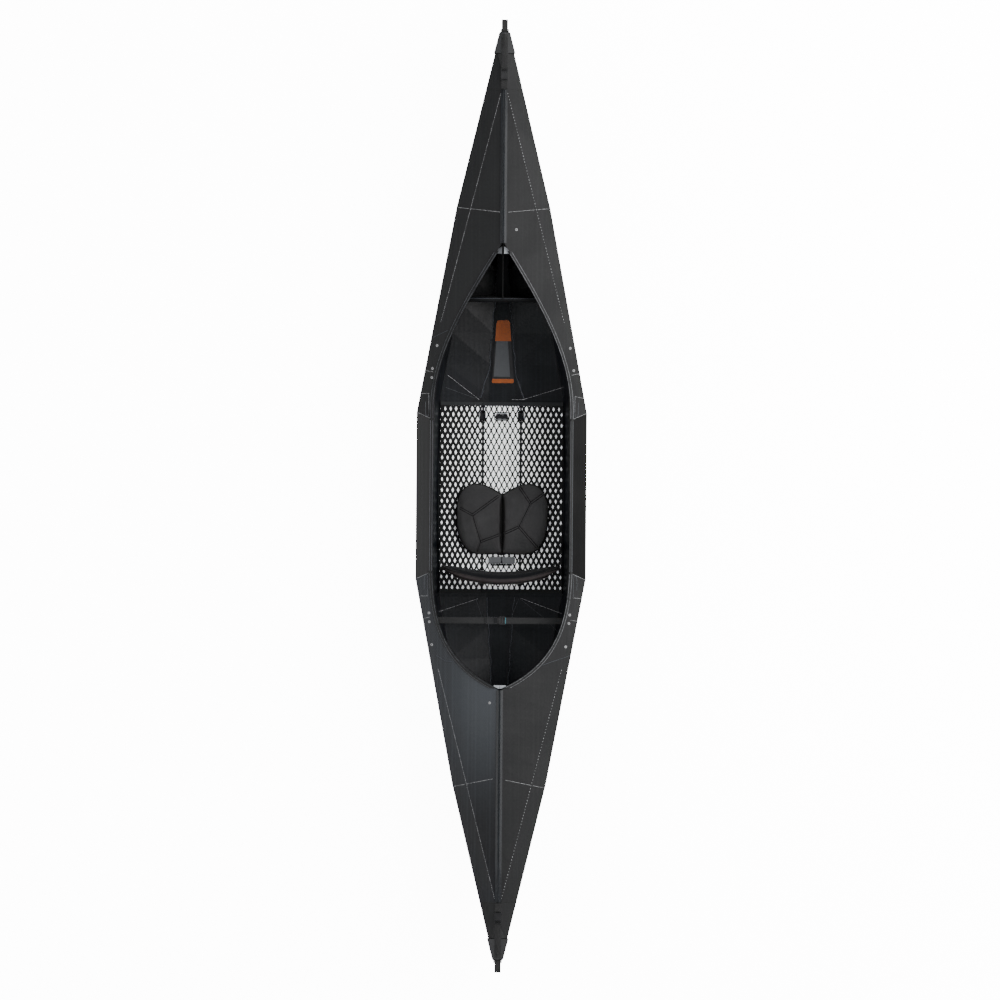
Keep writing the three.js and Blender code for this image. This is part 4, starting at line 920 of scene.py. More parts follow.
class Skin:
    """Upper faces of some CAD nodes, for laying marks on them."""

    def __init__(self, names: Iterable[str], meshes: Sequence[bpy.types.Mesh] = ()) -> None:
        """Gathers the faces.

        Args:
            names: the nodes.
            meshes: further meshes.
        """
        points: List[Vector] = []
        faces: List[Tuple[int, ...]] = []
        for mesh in [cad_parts[name].data for name in names] + list(meshes):
            start = len(points)
            points.extend(v.co.copy() for v in mesh.vertices)
            faces.extend(tuple(start + i for i in face.vertices) for face in mesh.polygons)
        self.tree = BVHTree.FromPolygons(points, faces)

    def under(self, x: float, y: float, top: float = 1.0) -> Optional[Laid]:
        """The highest point of the skin under a place.

        Args:
            x: the place across the boat.
            y: the place along the boat.
            top: the height to look down from.

        Returns:
            The point and its normal, or None where the skin is missed.
        """
        hit, normal, _, _ = self.tree.ray_cast(Vector((x, y, top)), Vector((0, 0, -1)))
        if hit is None:
            return None
        return hit, (normal if normal.z > 0 else -normal)

    def bridged(self, x: float, y: float, dx: float, dy: float) -> Optional[Laid]:
        """Point midway between the skin's two sides of a hairline gap.

        Args:
            x: the place across the boat.
            y: the place along the boat.
            dx: half the width looked over, across the boat.
            dy: half the width looked over, along the boat.

        Returns:
            The point and its normal, or None where a side is missed.
        """
        first, second = self.under(x - dx, y - dy), self.under(x + dx, y + dy)
        if not first or not second:
            return None
        return (first[0] + second[0]) / 2, (first[1] + second[1]).normalized()

    def path(self, plan: Sequence[Point2], step: float, lift: float = MARK_LIFT) -> List[Laid]:
        """Points laid along a line in plan.

        Args:
            plan: corners of the line, in metres.
            step: the widest distance between points.
            lift: how far the points stand off the skin.

        Returns:
            The points that met the skin, with their normals.
        """
        laid: List[Laid] = []
        for (x0, y0), (x1, y1) in zip(plan, plan[1:]):
            count = max(1, math.ceil(math.hypot(x1 - x0, y1 - y0) / step))
            for i in range(count + 1):
                share = i / count
                found = self.under(x0 + (x1 - x0) * share, y0 + (y1 - y0) * share)
                if found:
                    laid.append((found[0] + found[1] * lift, found[1]))
        return laid


# Geometry Nodes trees


class TreeMaker:
    """Makes Geometry Nodes trees with named inputs."""

    def __init__(self, name: str, inputs: Sequence[Tuple[str, str, object]]) -> None:
        """Starts a tree.

        Args:
            name: the tree's name.
            inputs: name, kind and default of each input after the geometry.
        """
        self.tree = bpy.data.node_groups.new(name, "GeometryNodeTree")
        self.tree.interface.new_socket("Geometry", in_out="INPUT", socket_type="NodeSocketGeometry")
        for label, kind, default in inputs:
            socket = self.tree.interface.new_socket(label, in_out="INPUT", socket_type=kind)
            if default is not None:
                socket.default_value = default
        self.tree.interface.new_socket("Geometry", in_out="OUTPUT", socket_type="NodeSocketGeometry")
        self.net = Net(self.tree)
        self.ins = self.net.node("NodeGroupInput").outputs
        self.outs = self.net.node("NodeGroupOutput").inputs

    def finish(self, geometry: bpy.types.NodeSocket) -> bpy.types.NodeTree:
        """Ends the tree in Realize Instances and Set Material.

        Args:
            geometry: what the tree has made.

        Returns:
            The tree.
        """
        real = self.net.node("GeometryNodeRealizeInstances")
        self.net.feed(real.inputs["Geometry"], geometry)
        paint = self.net.node("GeometryNodeSetMaterial")
        self.net.feed(paint.inputs["Geometry"], real.outputs["Geometry"])
        self.net.feed(paint.inputs["Material"], self.ins["Material"])
        self.net.feed(self.outs["Geometry"], paint.outputs["Geometry"])
        return self.tree


def facing_rotation(net: Net, along: Optional[bpy.types.NodeSocket]) -> bpy.types.NodeSocket:
    """Rotation whose Z is the stored normal and whose X runs along a direction.

    Args:
        net: the tree's net.
        along: the direction, or None where it doesn't matter.

    Returns:
        The rotation's socket.
    """
    stored = net.node("GeometryNodeInputNamedAttribute", data_type="FLOAT_VECTOR")
    stored.inputs["Name"].default_value = "facing"
    turn = net.node("FunctionNodeAxesToRotation", primary_axis="Z", secondary_axis="X")
    net.feed(turn.inputs["Primary Axis"], stored.outputs["Attribute"])
    if along is None:
        turn.inputs["Secondary Axis"].default_value = (1.0, 0.0, 0.0)
    else:
        net.feed(turn.inputs["Secondary Axis"], along)
    return turn.outputs["Rotation"]


def dashes_tree() -> bpy.types.NodeTree:
    """Short flat dashes along paths: perforations, stitches and whitened creases.

    Returns:
        The tree.
    """
    made = TreeMaker("dashes", [
        ("Spacing", FLOAT, 0.01), ("Length", FLOAT, 0.006), ("Width", FLOAT, 0.001),
        ("Height", FLOAT, 0.0004), ("Variation", FLOAT, 0.3), ("Seed", "NodeSocketInt", 1),
        ("Material", "NodeSocketMaterial", None)])
    net = made.net
    curve = net.node("GeometryNodeMeshToCurve")
    net.feed(curve.inputs["Mesh"], made.ins["Geometry"])
    points = net.node("GeometryNodeCurveToPoints", mode="LENGTH")
    net.feed(points.inputs["Curve"], curve.outputs["Curve"])
    net.feed(points.inputs["Length"], made.ins["Spacing"])
    dash = net.node("GeometryNodeMeshCube")
    size = net.node("ShaderNodeCombineXYZ")
    for socket, label in zip(size.inputs, ("Length", "Width", "Height")):
        net.feed(socket, made.ins[label])
    net.feed(dash.inputs["Size"], size.outputs[0])
    spread = net.node("FunctionNodeRandomValue", data_type="FLOAT")
    low = net.math("SUBTRACT", 1.0, made.ins["Variation"])
    net.feed(spread.inputs[2], low)
    spread.inputs[3].default_value = 1.0
    net.feed(spread.inputs["Seed"], made.ins["Seed"])
    thin = net.node("ShaderNodeCombineXYZ")
    net.feed(thin.inputs[0], spread.outputs[1])
    net.feed(thin.inputs[1], spread.outputs[1])
    thin.inputs[2].default_value = 1.0
    place = net.node("GeometryNodeInstanceOnPoints")
    net.feed(place.inputs["Points"], points.outputs["Points"])
    net.feed(place.inputs["Instance"], dash.outputs["Mesh"])
    net.feed(place.inputs["Rotation"], facing_rotation(net, points.outputs["Tangent"]))
    net.feed(place.inputs["Scale"], thin.outputs[0])
    return made.finish(place.outputs["Instances"])


def rivets_tree() -> bpy.types.NodeTree:
    """Rivets with a flat flange and a low dome, one on each point.

    Returns:
        The tree.
    """
    made = TreeMaker("rivets", [
        ("Radius", FLOAT, 0.005), ("Height", FLOAT, 0.0016), ("Sides", "NodeSocketInt", 16),
        ("Material", "NodeSocketMaterial", None)])
    net = made.net
    flange = net.node("GeometryNodeMeshCylinder")
    net.feed(flange.inputs["Vertices"], made.ins["Sides"])
    net.feed(flange.inputs["Radius"], made.ins["Radius"])
    net.feed(flange.inputs["Depth"], net.times(made.ins["Height"], 0.5))
    dome = net.node("GeometryNodeMeshUVSphere")
    net.feed(dome.inputs["Segments"], made.ins["Sides"])
    dome.inputs["Rings"].default_value = 8
    net.feed(dome.inputs["Radius"], net.times(made.ins["Radius"], 0.62))
    flat = net.node("GeometryNodeTransform")
    net.feed(flat.inputs["Geometry"], dome.outputs["Mesh"])
    squeeze = net.node("ShaderNodeCombineXYZ")
    squeeze.inputs[0].default_value = 1.0
    squeeze.inputs[1].default_value = 1.0
    net.feed(squeeze.inputs[2], net.math("DIVIDE", made.ins["Height"], made.ins["Radius"]))
    net.feed(flat.inputs["Scale"], squeeze.outputs[0])
    both = net.node("GeometryNodeJoinGeometry")
    net.feed(both.inputs[0], flange.outputs["Mesh"])
    net.feed(both.inputs[0], flat.outputs["Geometry"])
    points = net.node("GeometryNodeMeshToPoints")
    net.feed(points.inputs["Mesh"], made.ins["Geometry"])
    place = net.node("GeometryNodeInstanceOnPoints")
    net.feed(place.inputs["Points"], points.outputs["Points"])
    net.feed(place.inputs["Instance"], both.outputs[0])
    net.feed(place.inputs["Rotation"], facing_rotation(net, None))
    return made.finish(place.outputs["Instances"])


def bead_tree() -> bpy.types.NodeTree:
    """Round bead that follows paths.

    Returns:
        The tree.
    """
    made = TreeMaker("bead", [
        ("Radius", FLOAT, 0.0008), ("Sides", "NodeSocketInt", 8), ("Material", "NodeSocketMaterial", None)])
    net = made.net
    curve = net.node("GeometryNodeMeshToCurve")
    net.feed(curve.inputs["Mesh"], made.ins["Geometry"])
    ring = net.node("GeometryNodeCurvePrimitiveCircle", mode="RADIUS")
    net.feed(ring.inputs["Resolution"], made.ins["Sides"])
    net.feed(ring.inputs["Radius"], made.ins["Radius"])
    tube = net.node("GeometryNodeCurveToMesh")
    net.feed(tube.inputs["Curve"], curve.outputs["Curve"])
    net.feed(tube.inputs["Profile Curve"], ring.outputs["Curve"])
    tube.inputs["Fill Caps"].default_value = True
    return made.finish(tube.outputs["Mesh"])


class Trees:
    """The Geometry Nodes trees, each built once, and the call that runs one."""

    makers: Dict[str, Callable[[], bpy.types.NodeTree]] = {
        "dashes": dashes_tree, "rivets": rivets_tree, "bead": bead_tree,
    }
    built: Dict[str, bpy.types.NodeTree] = {}

    @classmethod
    def get(cls, name: str) -> bpy.types.NodeTree:
        """The tree of that name, made on first use.

        Args:
            name: the tree's name.

        Returns:
            The tree.
        """
        if name not in cls.built:
            cls.built[name] = cls.makers[name]()
        return cls.built[name]

    @classmethod
    def grow(cls, tree_name: str, name: str, paths: Sequence[Sequence[Laid]], finish: Finish, slot: str,
             body: str, **values: Union[float, int]) -> None:
        """Runs a tree on some paths and turns the result into a plain piece on a body.

        Args:
            tree_name: the tree.
            name: the piece's name.
            paths: points with their normals, one list a path.
            finish: the piece's finish.
            slot: the record's material slot; not used.
            body: the body that the piece rides on.
            values: the tree's inputs.
        """
        tree = cls.get(tree_name)
        mesh = bpy.data.meshes.new(name)
        points = [p for path in paths for p, _ in path]
        edges: List[Tuple[int, int]] = []
        start = 0
        for path in paths:
            edges.extend((start + i, start + i + 1) for i in range(len(path) - 1))
            start += len(path)
        mesh.from_pydata([tuple(p) for p in points], edges, [])
        facing = mesh.attributes.new("facing", "FLOAT_VECTOR", "POINT")
        for item, normal in zip(facing.data, (n for path in paths for _, n in path)):
            item.vector = normal
        piece = bpy.data.objects.new(name, mesh)
        bpy.context.scene.collection.objects.link(piece)
        modifier = piece.modifiers.new("tree", "NODES")
        modifier.node_group = tree
        given = dict(values, Material=finish.build())
        for item in tree.interface.items_tree:
            if item.item_type == "SOCKET" and item.in_out == "INPUT" and item.name in given:
                modifier[item.identifier] = given[item.name]
        applied(piece)
        build = bmesh.new()
        build.from_mesh(piece.data)
        bmesh.ops.recalc_face_normals(build, faces=build.faces[:])
        build.to_mesh(piece.data)
        build.free()
        for layer in [a for a in piece.data.attributes if a.name == "facing"]:
            piece.data.attributes.remove(layer)
        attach(piece, body)


# Sub-assemblies


@dataclass
class HullLines:
    """The boat's main lines, in metres, for marks that follow them."""

    kink_y: float = 0.329
    inner_fold_y: float = 0.398
    outer_fold_y: float = 1.141
    rim_y: float = 1.750
    kink_half: float = 0.338
    fold_half: float = 0.186
    rim_half: float = 0.0385
    keel_half: float = 0.054
    keel_fold_half: float = 0.010
    crease_start_y: float = 0.689
    crease_end_y: float = 1.591
    crease_inset: float = 0.027
    crease_end_half: float = 0.014

    def sheer_x(self, y: float) -> float:
        """Half beam at the sheer.

        Args:
            y: the station, in metres from the middle.

        Returns:
            The half beam.
        """
        station = abs(y)
        if station <= self.kink_y:
            return self.kink_half
        if station <= self.outer_fold_y:
            share = (station - self.kink_y) / (self.outer_fold_y - self.kink_y)
            return self.kink_half + (self.fold_half - self.kink_half) * share
        share = (station - self.outer_fold_y) / (self.rim_y - self.outer_fold_y)
        return self.fold_half + (self.rim_half - self.fold_half) * share

    def crease_x(self, y: float) -> float:
        """Half width of the deck's lengthwise crease.

        Args:
            y: the station.

        Returns:
            The half width.
        """
        start = self.sheer_x(self.crease_start_y) - self.crease_inset
        share = (abs(y) - self.crease_start_y) / (self.crease_end_y - self.crease_start_y)
        return start + (self.crease_end_half - start) * share

    def keel_x(self, y: float) -> float:
        """Half width of the keel strip."""
        share = max(0.0, abs(y) - self.inner_fold_y) / (self.outer_fold_y - self.inner_fold_y)
        return self.keel_half + (self.keel_fold_half - self.keel_half) * share


LINES = HullLines()


@dataclass
class Hull:
    """Folded bottom and sides, with whitened creases on their inner faces."""

    bright_fans: Tuple[Tuple[Point2, Point2], ...] = (
        ((-0.2150, 0.4800), (-0.0932, 0.3870)), ((0.0860, 0.3870), (0.2467, 0.4371)),
        ((0.0428, 0.3862), (0.0860, 0.3862)), ((-0.2454, -0.4635), (-0.0929, -0.4120)),
        ((0.0818, -0.4080), (0.2444, -0.4676)),
    )
    faint_fans: Tuple[Tuple[Point2, Point2], ...] = (
        ((-0.2227, 0.4319), (-0.0952, 0.3860)), ((0.0604, 0.4639), (0.0860, 0.3880)),
        ((-0.0620, 0.4719), (-0.0892, 0.3919)), ((-0.0959, -0.4181), (-0.0737, -0.4817)),
        ((0.0818, -0.4120), (0.1818, -0.4918)), ((0.0727, -0.4120), (0.0505, -0.4676)),
        ((0.1919, -0.5019), (0.2343, -0.5453)),
    )
    wave_long: Point2 = (0.0021, 47.0)
    wave_short: Point2 = (0.0013, 113.0)
    crease_reach: Dict[End, Point2] = field(default_factory=lambda: {
        End.BOW: (0.394, 0.93), End.STERN: (0.405, 0.75)})
    bow_creases: Tuple[Point2, ...] = (
        (0.390, 0.086), (0.505, 0.0522), (0.640, 0.0425), (0.776, 0.0300), (0.940, 0.0195),
    )
    seam_reach: float = 0.29
    seam_step: float = 0.005
    seam_end_y: float = 1.55
    seam_half_gap: float = 0.0012
    seam_depth: float = 0.0005

    def build(self) -> None:
        """Dresses the hull's nodes and lays its creases."""
        nodes = [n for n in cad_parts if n.startswith(("keel_", "bilge_", "side_"))]
        dress_nodes(SHEET, *nodes)
        skin = Skin(nodes)
        for word, fans, finish, width in (("bright", self.bright_fans, WHITENED, 0.0018),
                                          ("faint", self.faint_fans, DIM_CREASE_AND_HIGHLIGHT, 0.0013)):
            folds = [skin.path(plan, 0.02) for plan in fans]
            Trees.grow("dashes", f"bilge_creases_{word}", folds, finish, "sheet", "hull",
                       Spacing=0.0045, Length=0.0058, Width=width, Height=0.0004, Variation=0.6, Seed=3)
        self.seams(skin)
        creases = [self.keel_crease(skin, side, end) for side in Side for end in End]
        Trees.grow("bead", "keel_crease_lines", creases, FAINT_CREASE_AND_GLEAM, "sheet", "hull",
                   Radius=0.0019, Sides=6)
        Trees.grow("dashes", "keel_creases", creases, DIM_CREASE_AND_HIGHLIGHT, "sheet", "hull",
                   Spacing=0.006, Length=0.0040, Width=0.0018, Height=0.0042, Variation=0.9, Seed=7)
        LOG.info("hull: %d nodes dressed, creases laid", len(nodes))

    def seams(self, skin: Skin) -> None:
        """Dark beads in the hairline gaps between the panels, where the real sheet is folded.

        Args:
            skin: the hull's inner skin.
        """
        count = round(2 * self.seam_reach / self.seam_step) + 1
        fold_y = LINES.inner_fold_y
        paths = []
        for end in End:
            xs = (-self.seam_reach + self.seam_step * i for i in range(count))
            across = [skin.bridged(x, end.value * fold_y, 0.0, self.seam_half_gap) for x in xs]
            paths.append([p for p in across if p])
        near, far = fold_y - 0.001, fold_y + 0.001
        for side in Side:
            for start, stop in ((-self.seam_end_y, -far), (-near, near), (far, self.seam_end_y)):
                run = []
                for i in range(61):
                    y = start + (stop - start) * i / 60
                    run.append(skin.bridged(side.value * LINES.keel_x(y), y, self.seam_half_gap, 0.0))
                paths.append([p for p in run if p])
        sunk = [[(p - n * self.seam_depth, n) for p, n in path] for path in paths]
        Trees.grow("bead", "panel_folds", sunk, SHEET, "sheet", "hull", Radius=0.0011, Sides=6)

    def bow_crease_x(self, y: float) -> float:
        """Half spacing of the bow's keel creases, which part towards the board's corners.

        Args:
            y: the station.

        Returns:
            The half spacing.
        """
        for (y0, x0), (y1, x1) in zip(self.bow_creases, self.bow_creases[1:]):
            if y <= y1:
                return x0 + (x1 - x0) * (y - y0) / (y1 - y0)
        return self.bow_creases[-1][1]

    def keel_crease(self, skin: Skin, side: Side, end: End) -> List[Laid]:
        """Wavy whitened crease beside the keel strip.

        Args:
            skin: the hull's inner skin.
            side: the side.
            end: the end of the boat.

        Returns:
            The points of the crease.
        """
        near, far = self.crease_reach[end]
        (long_height, long_turns), (short_height, short_turns) = self.wave_long, self.wave_short
        laid: List[Laid] = []
        for i in range(90):
            y = near + (far - near) * i / 89
            wave = long_height * math.sin(y * long_turns + side.value)
            wave += short_height * math.sin(y * short_turns + end.value)
            reach = self.bow_crease_x(y) if end is End.BOW else LINES.keel_x(y)
            found = skin.under(side.value * (reach + wave), end.value * y)
            if found:
                laid.append((found[0] + found[1] * (2 * MARK_LIFT), found[1]))
        return laid


@dataclass
class Decks:
    """Deck leaves, side flaps and tip decks with their creases, perforations and rivets."""

    cross_creases: Dict[str, Tuple[Tuple[Point2, ...], ...]] = field(default_factory=lambda: {
        "deck_bow_left": (((-0.179, 1.1410), (-0.0135, 1.1222)),
                          ((-0.300, 0.495), (-0.276, 0.490)), ((-0.320, 0.404), (-0.290, 0.404)),
                          ((-0.2905, 0.404), (-0.289, 0.335))),
        "deck_bow_right": (((0.0215, 1.1222), (0.179, 1.1385)), ((0.278, 0.481), (0.307, 0.487)),
                           ((0.290, 0.396), (0.322, 0.390)), ((0.2895, 0.396), (0.289, 0.335))),
        "deck_stern_left": (((-0.182, -1.1515), (-0.0255, -1.1183)), ((-0.330, -0.398), (-0.290, -0.398)),
                            ((-0.318, -0.491), (-0.280, -0.482))),
        "deck_stern_right": (((0.0255, -1.1230), (0.182, -1.1547)), ((0.289, -0.4016), (0.319, -0.404)),
                             ((0.278, -0.4895), (0.303, -0.494))),
    })
    faint_creases: Dict[str, Tuple[Point2, ...]] = field(default_factory=lambda: {
        "deck_bow_left": ((-0.2764, 0.6257), (-0.2150, 0.655)),
        "deck_stern_left": ((-0.252, -0.634), (-0.215, -0.655), (-0.19, -0.657)),
        "deck_stern_right": ((0.16, -0.671), (0.22, -0.650), (0.28, -0.6296)),
    })
    rivet_places: Dict[str, Tuple[Point2, ...]] = field(default_factory=lambda: {
        "deck_bow_left": ((-0.2586, 0.594), (-0.2765, 0.503), (-0.2784, 0.467)),
        "deck_bow_right": ((0.0523, 1.0534), (0.2693, 0.587), (0.2834, 0.499)),
        "deck_stern_left": ((-0.2824, -0.4653), (-0.2808, -0.5005), (-0.2705, -0.5912), (-0.0388, -0.8181)),
        "deck_stern_right": ((0.2752, -0.4693), (0.2721, -0.5029), (0.2602, -0.5956)),
    })
    corner_seam: Tuple[Point2, ...] = ((0.3340, 0.3292), (0.286, 0.3072))
    clip_corners: Tuple[Point2, ...] = (
        (0.2885, 0.398), (0.2885, 0.330), (0.2905, 0.3165), (0.2955, 0.3125), (0.3005, 0.3165),
        (0.3025, 0.330), (0.3025, 0.372),
    )

    def build(self) -> None:
        """Dresses the deck and lays its marks."""
        for end in End:
            for side in Side:
                self.leaf(side, end)
            dress_nodes(DECK, f"tip_deck_{end.word}")
        for side in Side:
            # The flaps carry painted light on the left and painted shade on the right.
            dress_nodes(FLAP_LEFT_PAINTED_LIGHT if side is Side.LEFT else FLAP_RIGHT_PAINTED_SHADE, f"flap_{side.word}")
        LOG.info("decks: leaves, flaps and tip decks dressed")

    def leaf(self, side: Side, end: End) -> None:
        """One deck leaf with its creases, perforation, corner seam, rivets and clip's outline.

        Args:
            side: the side.
            end: the end of the boat.
        """
        name = f"deck_{end.word}_{side.word}"
        dress_nodes(DECK_PAINTED_SHEEN if name == "deck_stern_left" else DECK, name)
        skin = Skin([name])
        plan = []
        for i in range(31):
            y = LINES.crease_start_y + (LINES.crease_end_y - LINES.crease_start_y) * i / 30
            plan.append((side.value * LINES.crease_x(y), end.value * y))
        dense = side is Side.LEFT
        ending = f"{end.word}_{side.word}"
        Trees.grow("dashes", f"perforation_{ending}", [skin.path(plan, 0.05)], WHITENED, "deck", name,
                   Spacing=0.0075 if dense else 0.012, Length=0.0052, Width=0.0014 if dense else 0.0016,
                   Height=0.0006, Variation=0.5, Seed=11 + side.value + 5 * end.value)
        lines = [skin.path(line, 0.02) for line in self.cross_creases[name]]
        seam = [(side.value * x, end.value * y) for x, y in self.corner_seam]
        lines.append(skin.path(seam, 0.01))
        Trees.grow("dashes", f"cross_creases_{ending}", [l for l in lines if len(l) > 1], WHITENED, "deck",
                   name, Spacing=0.004, Length=0.0055, Width=0.0013, Height=0.0004, Variation=0.55,
                   Seed=19 + side.value + 5 * end.value)
        if name in self.faint_creases:
            Trees.grow("bead", f"faint_crease_{ending}", [skin.path(self.faint_creases[name], 0.02)],
                       FAINT_CREASE_AND_GLEAM, "deck", name, Radius=0.0009, Sides=6)
        spots = [skin.under(x, y) for x, y in self.rivet_places[name]]
        points = [[spot] for spot in spots if spot]
        Trees.grow("rivets", f"rivets_{ending}", points, RIVET, "deck", name,
                   Radius=0.0052, Height=0.002, Sides=20)
        # Dark discs in the rivets' middles: painted shade of their hollows.
        Trees.grow("rivets", f"rivet_hollows_{ending}", points, PRESSED_AND_PAINTED_SHADE, "deck", name,
                   Radius=0.0033, Height=0.0026, Sides=16)
        clip = skin.path([(side.value * x, end.value * y) for x, y in self.clip_corners], 0.006)
        if len(clip) > 1:
            Trees.grow("bead", f"clip_outline_{ending}", [clip], DIM_CREASE_AND_HIGHLIGHT, "deck", name,
                       Radius=0.0008, Sides=6)


@dataclass
class CockpitEdge:
    """Edge trims round the cockpit, with pale beads along them that are painted highlights."""

    half_width: float = 0.275
    seam_y: float = 0.301
    apex_x: float = 0.0034
    apex_y: Dict[End, float] = field(default_factory=lambda: {End.BOW: 1.000, End.STERN: 0.768})
    pulls: Dict[End, Tuple[Point2, Point2]] = field(default_factory=lambda: {
        End.BOW: ((1.036, 0.299), (0.727, 0.557)), End.STERN: ((0.989, 0.555), (0.655, 0.833))})
    end_share: float = 0.965
    bead_offsets: Tuple[float, float] = (0.0072, -0.0022)
    flap_bead_xs: Tuple[float, float] = (0.2825, 0.2735)
    flap_bead_end_y: float = 0.298

    def plan(self, end: End, share: float) -> Vector:
        """Point of the cockpit's edge in plan, on a cubic curve.

        Args:
            end: the end of the boat.
            share: the place on the curve, from the seam (0) to the apex (1).

        Returns:
            The point on the right side of the bow's frame.
        """
        span = self.apex_y[end] - self.seam_y
        a = Vector((self.half_width, self.seam_y))
        b, c = (Vector((x * self.half_width, self.seam_y + y * span)) for x, y in self.pulls[end])
        d = Vector((self.apex_x, self.apex_y[end]))
        t, s = share, 1 - share
        return a * s ** 3 + b * 3 * s * s * t + c * 3 * s * t * t + d * t ** 3

    def build(self) -> None:
        """Dresses the trims and lays their beads."""
        for side in Side:
            for end in End:
                self.leaf_highlight_beads(side, end)
            self.flap_beads(side)
        LOG.info("cockpit edge: trims dressed, beads laid")

    def leaf_highlight_beads(self, side: Side, end: End) -> None:
        """Two pale beads along one leaf's trim, painted highlights, brighter on the right leaves.

        Args:
            side: the side.
            end: the end of the boat.
        """
        name = f"trim_{end.word}_{side.word}"
        dress_nodes(TRIM, name)
        skin = Skin([name])
        paths = []
        for offset in self.bead_offsets:
            plan = []
            for i in range(41):
                share = self.end_share * (0.01 + 0.98 * i / 40)
                here = self.plan(end, share)
                ahead = self.plan(end, share + 0.01) - here
                out = Vector((ahead.y, -ahead.x)).normalized()
                spot = here + out * offset
                plan.append((side.value * spot.x, end.value * spot.y))
            paths.append(skin.path(plan, 0.05))
        finish, radius = (SOFT_HIGHLIGHT_AND_LIP, 0.0010) if side is Side.RIGHT else (DIM_CREASE_AND_HIGHLIGHT, 0.0007)
        Trees.grow("bead", f"trim_beads_{end.word}_{side.word}", [p for p in paths if len(p) > 1], finish,
                   "trim", f"deck_{end.word}_{side.word}", Radius=radius, Sides=6)

    def flap_beads(self, side: Side) -> None:
        """Two pale beads along a flap's trim, painted highlights.

        Args:
            side: the side.
        """
        name = f"flap_trim_{side.word}"
        dress_nodes(TRIM, name)
        skin = Skin([name])
        reach = self.flap_bead_end_y
        paths = [skin.path(((side.value * x, -reach), (side.value * x, reach)), 0.05)
                 for x in self.flap_bead_xs]
        Trees.grow("bead", f"flap_beads_{side.word}", [p for p in paths if len(p) > 1], DIM_CREASE_AND_HIGHLIGHT, "trim",
                   f"flap_{side.word}", Radius=0.0009, Sides=6)


@dataclass
class TipFittings:
    """Deck rails, end caps, handles, closing straps and buckles."""

    lip_outline: Tuple[Point2, ...] = ((1.8352, 0.3330), (1.8381, 0.3330), (1.8381, 0.3350), (1.8352, 0.3350))
    lip_half: float = 0.0142
    rim_half: float = 0.040
    rim_start_y: float = 1.745
    rim_step: float = 0.0005
    stitch_half: float = 0.0095
    stitch_ys: Tuple[float, float] = (1.775, 1.812)

    def build(self) -> None:
        """Dresses the mouldings and replaces the webbing."""
        for end in End:
            word = end.word
            dress_nodes(RAIL, f"rail_{word}")
            dress_nodes(CAP, f"cap_{word}")
            dress_nodes(BUCKLE, f"buckle_plug_{word}", f"buckle_socket_{word}")
            soften(f"handle_{word}", f"handle_webbing_{word}", WEBBING, f"handle_{word}")
            soften(f"cap_strap_{word}", f"cap_strap_webbing_{word}", WEBBING, f"cap_{word}")
            soften(f"anchor_strap_{word}", f"anchor_webbing_{word}", WEBBING, "hull")
            self.stitching(end)
            self.nose_lip(end)
            self.rim_shadow(end)
        LOG.info("tip fittings: caps, handles and straps dressed")

    def nose_lip(self, end: End) -> None:
        """Lip of the cap behind the handle's eye.

        Args:
            end: the end of the boat.
        """
        rings = [[Vector((x, end.value * y, z)) for y, z in self.lip_outline]
                 for x in (-self.lip_half, self.lip_half)]
        piece = new_piece(f"cap_lip_{end.word}", lofted("cap_lip", rings, False), CAP)
        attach(piece, f"cap_{end.word}")

    def rim_shadow(self, end: End) -> None:
        """Painted shadow: a dark line along the cap's rim.

        Args:
            end: the end of the boat.
        """
        skin = Skin([f"cap_{end.word}"])
        rim: List[Laid] = []
        for i in range(37):
            x = self.rim_half * (i / 18 - 1)
            for k in range(40):
                found = skin.under(x, end.value * (self.rim_start_y + self.rim_step * k))
                if found:
                    rim.append((found[0], UP))
                    break
        Trees.grow("bead", f"cap_rim_line_{end.word}", [rim], PRESSED_AND_PAINTED_SHADE, "cap", f"cap_{end.word}",
                   Radius=0.0011, Sides=6)

    def stitching(self, end: End) -> None:
        """Box stitches where the cap's strap is sewn.

        Args:
            end: the end of the boat.
        """
        skin = Skin([f"cap_strap_{end.word}"])
        half = self.stitch_half
        near, far = (end.value * y for y in self.stitch_ys)
        plan = [(-half, near), (half, near), (half, far), (-half, far), (-half, near), (half, far)]
        Trees.grow("dashes", f"cap_strap_stitches_{end.word}", [skin.path(plan, 0.01, 2 * MARK_LIFT)],
                   THREAD, "webbing", f"cap_{end.word}",
                   Spacing=0.0034, Length=0.0026, Width=0.0007, Height=0.0006, Variation=0.1, Seed=2)


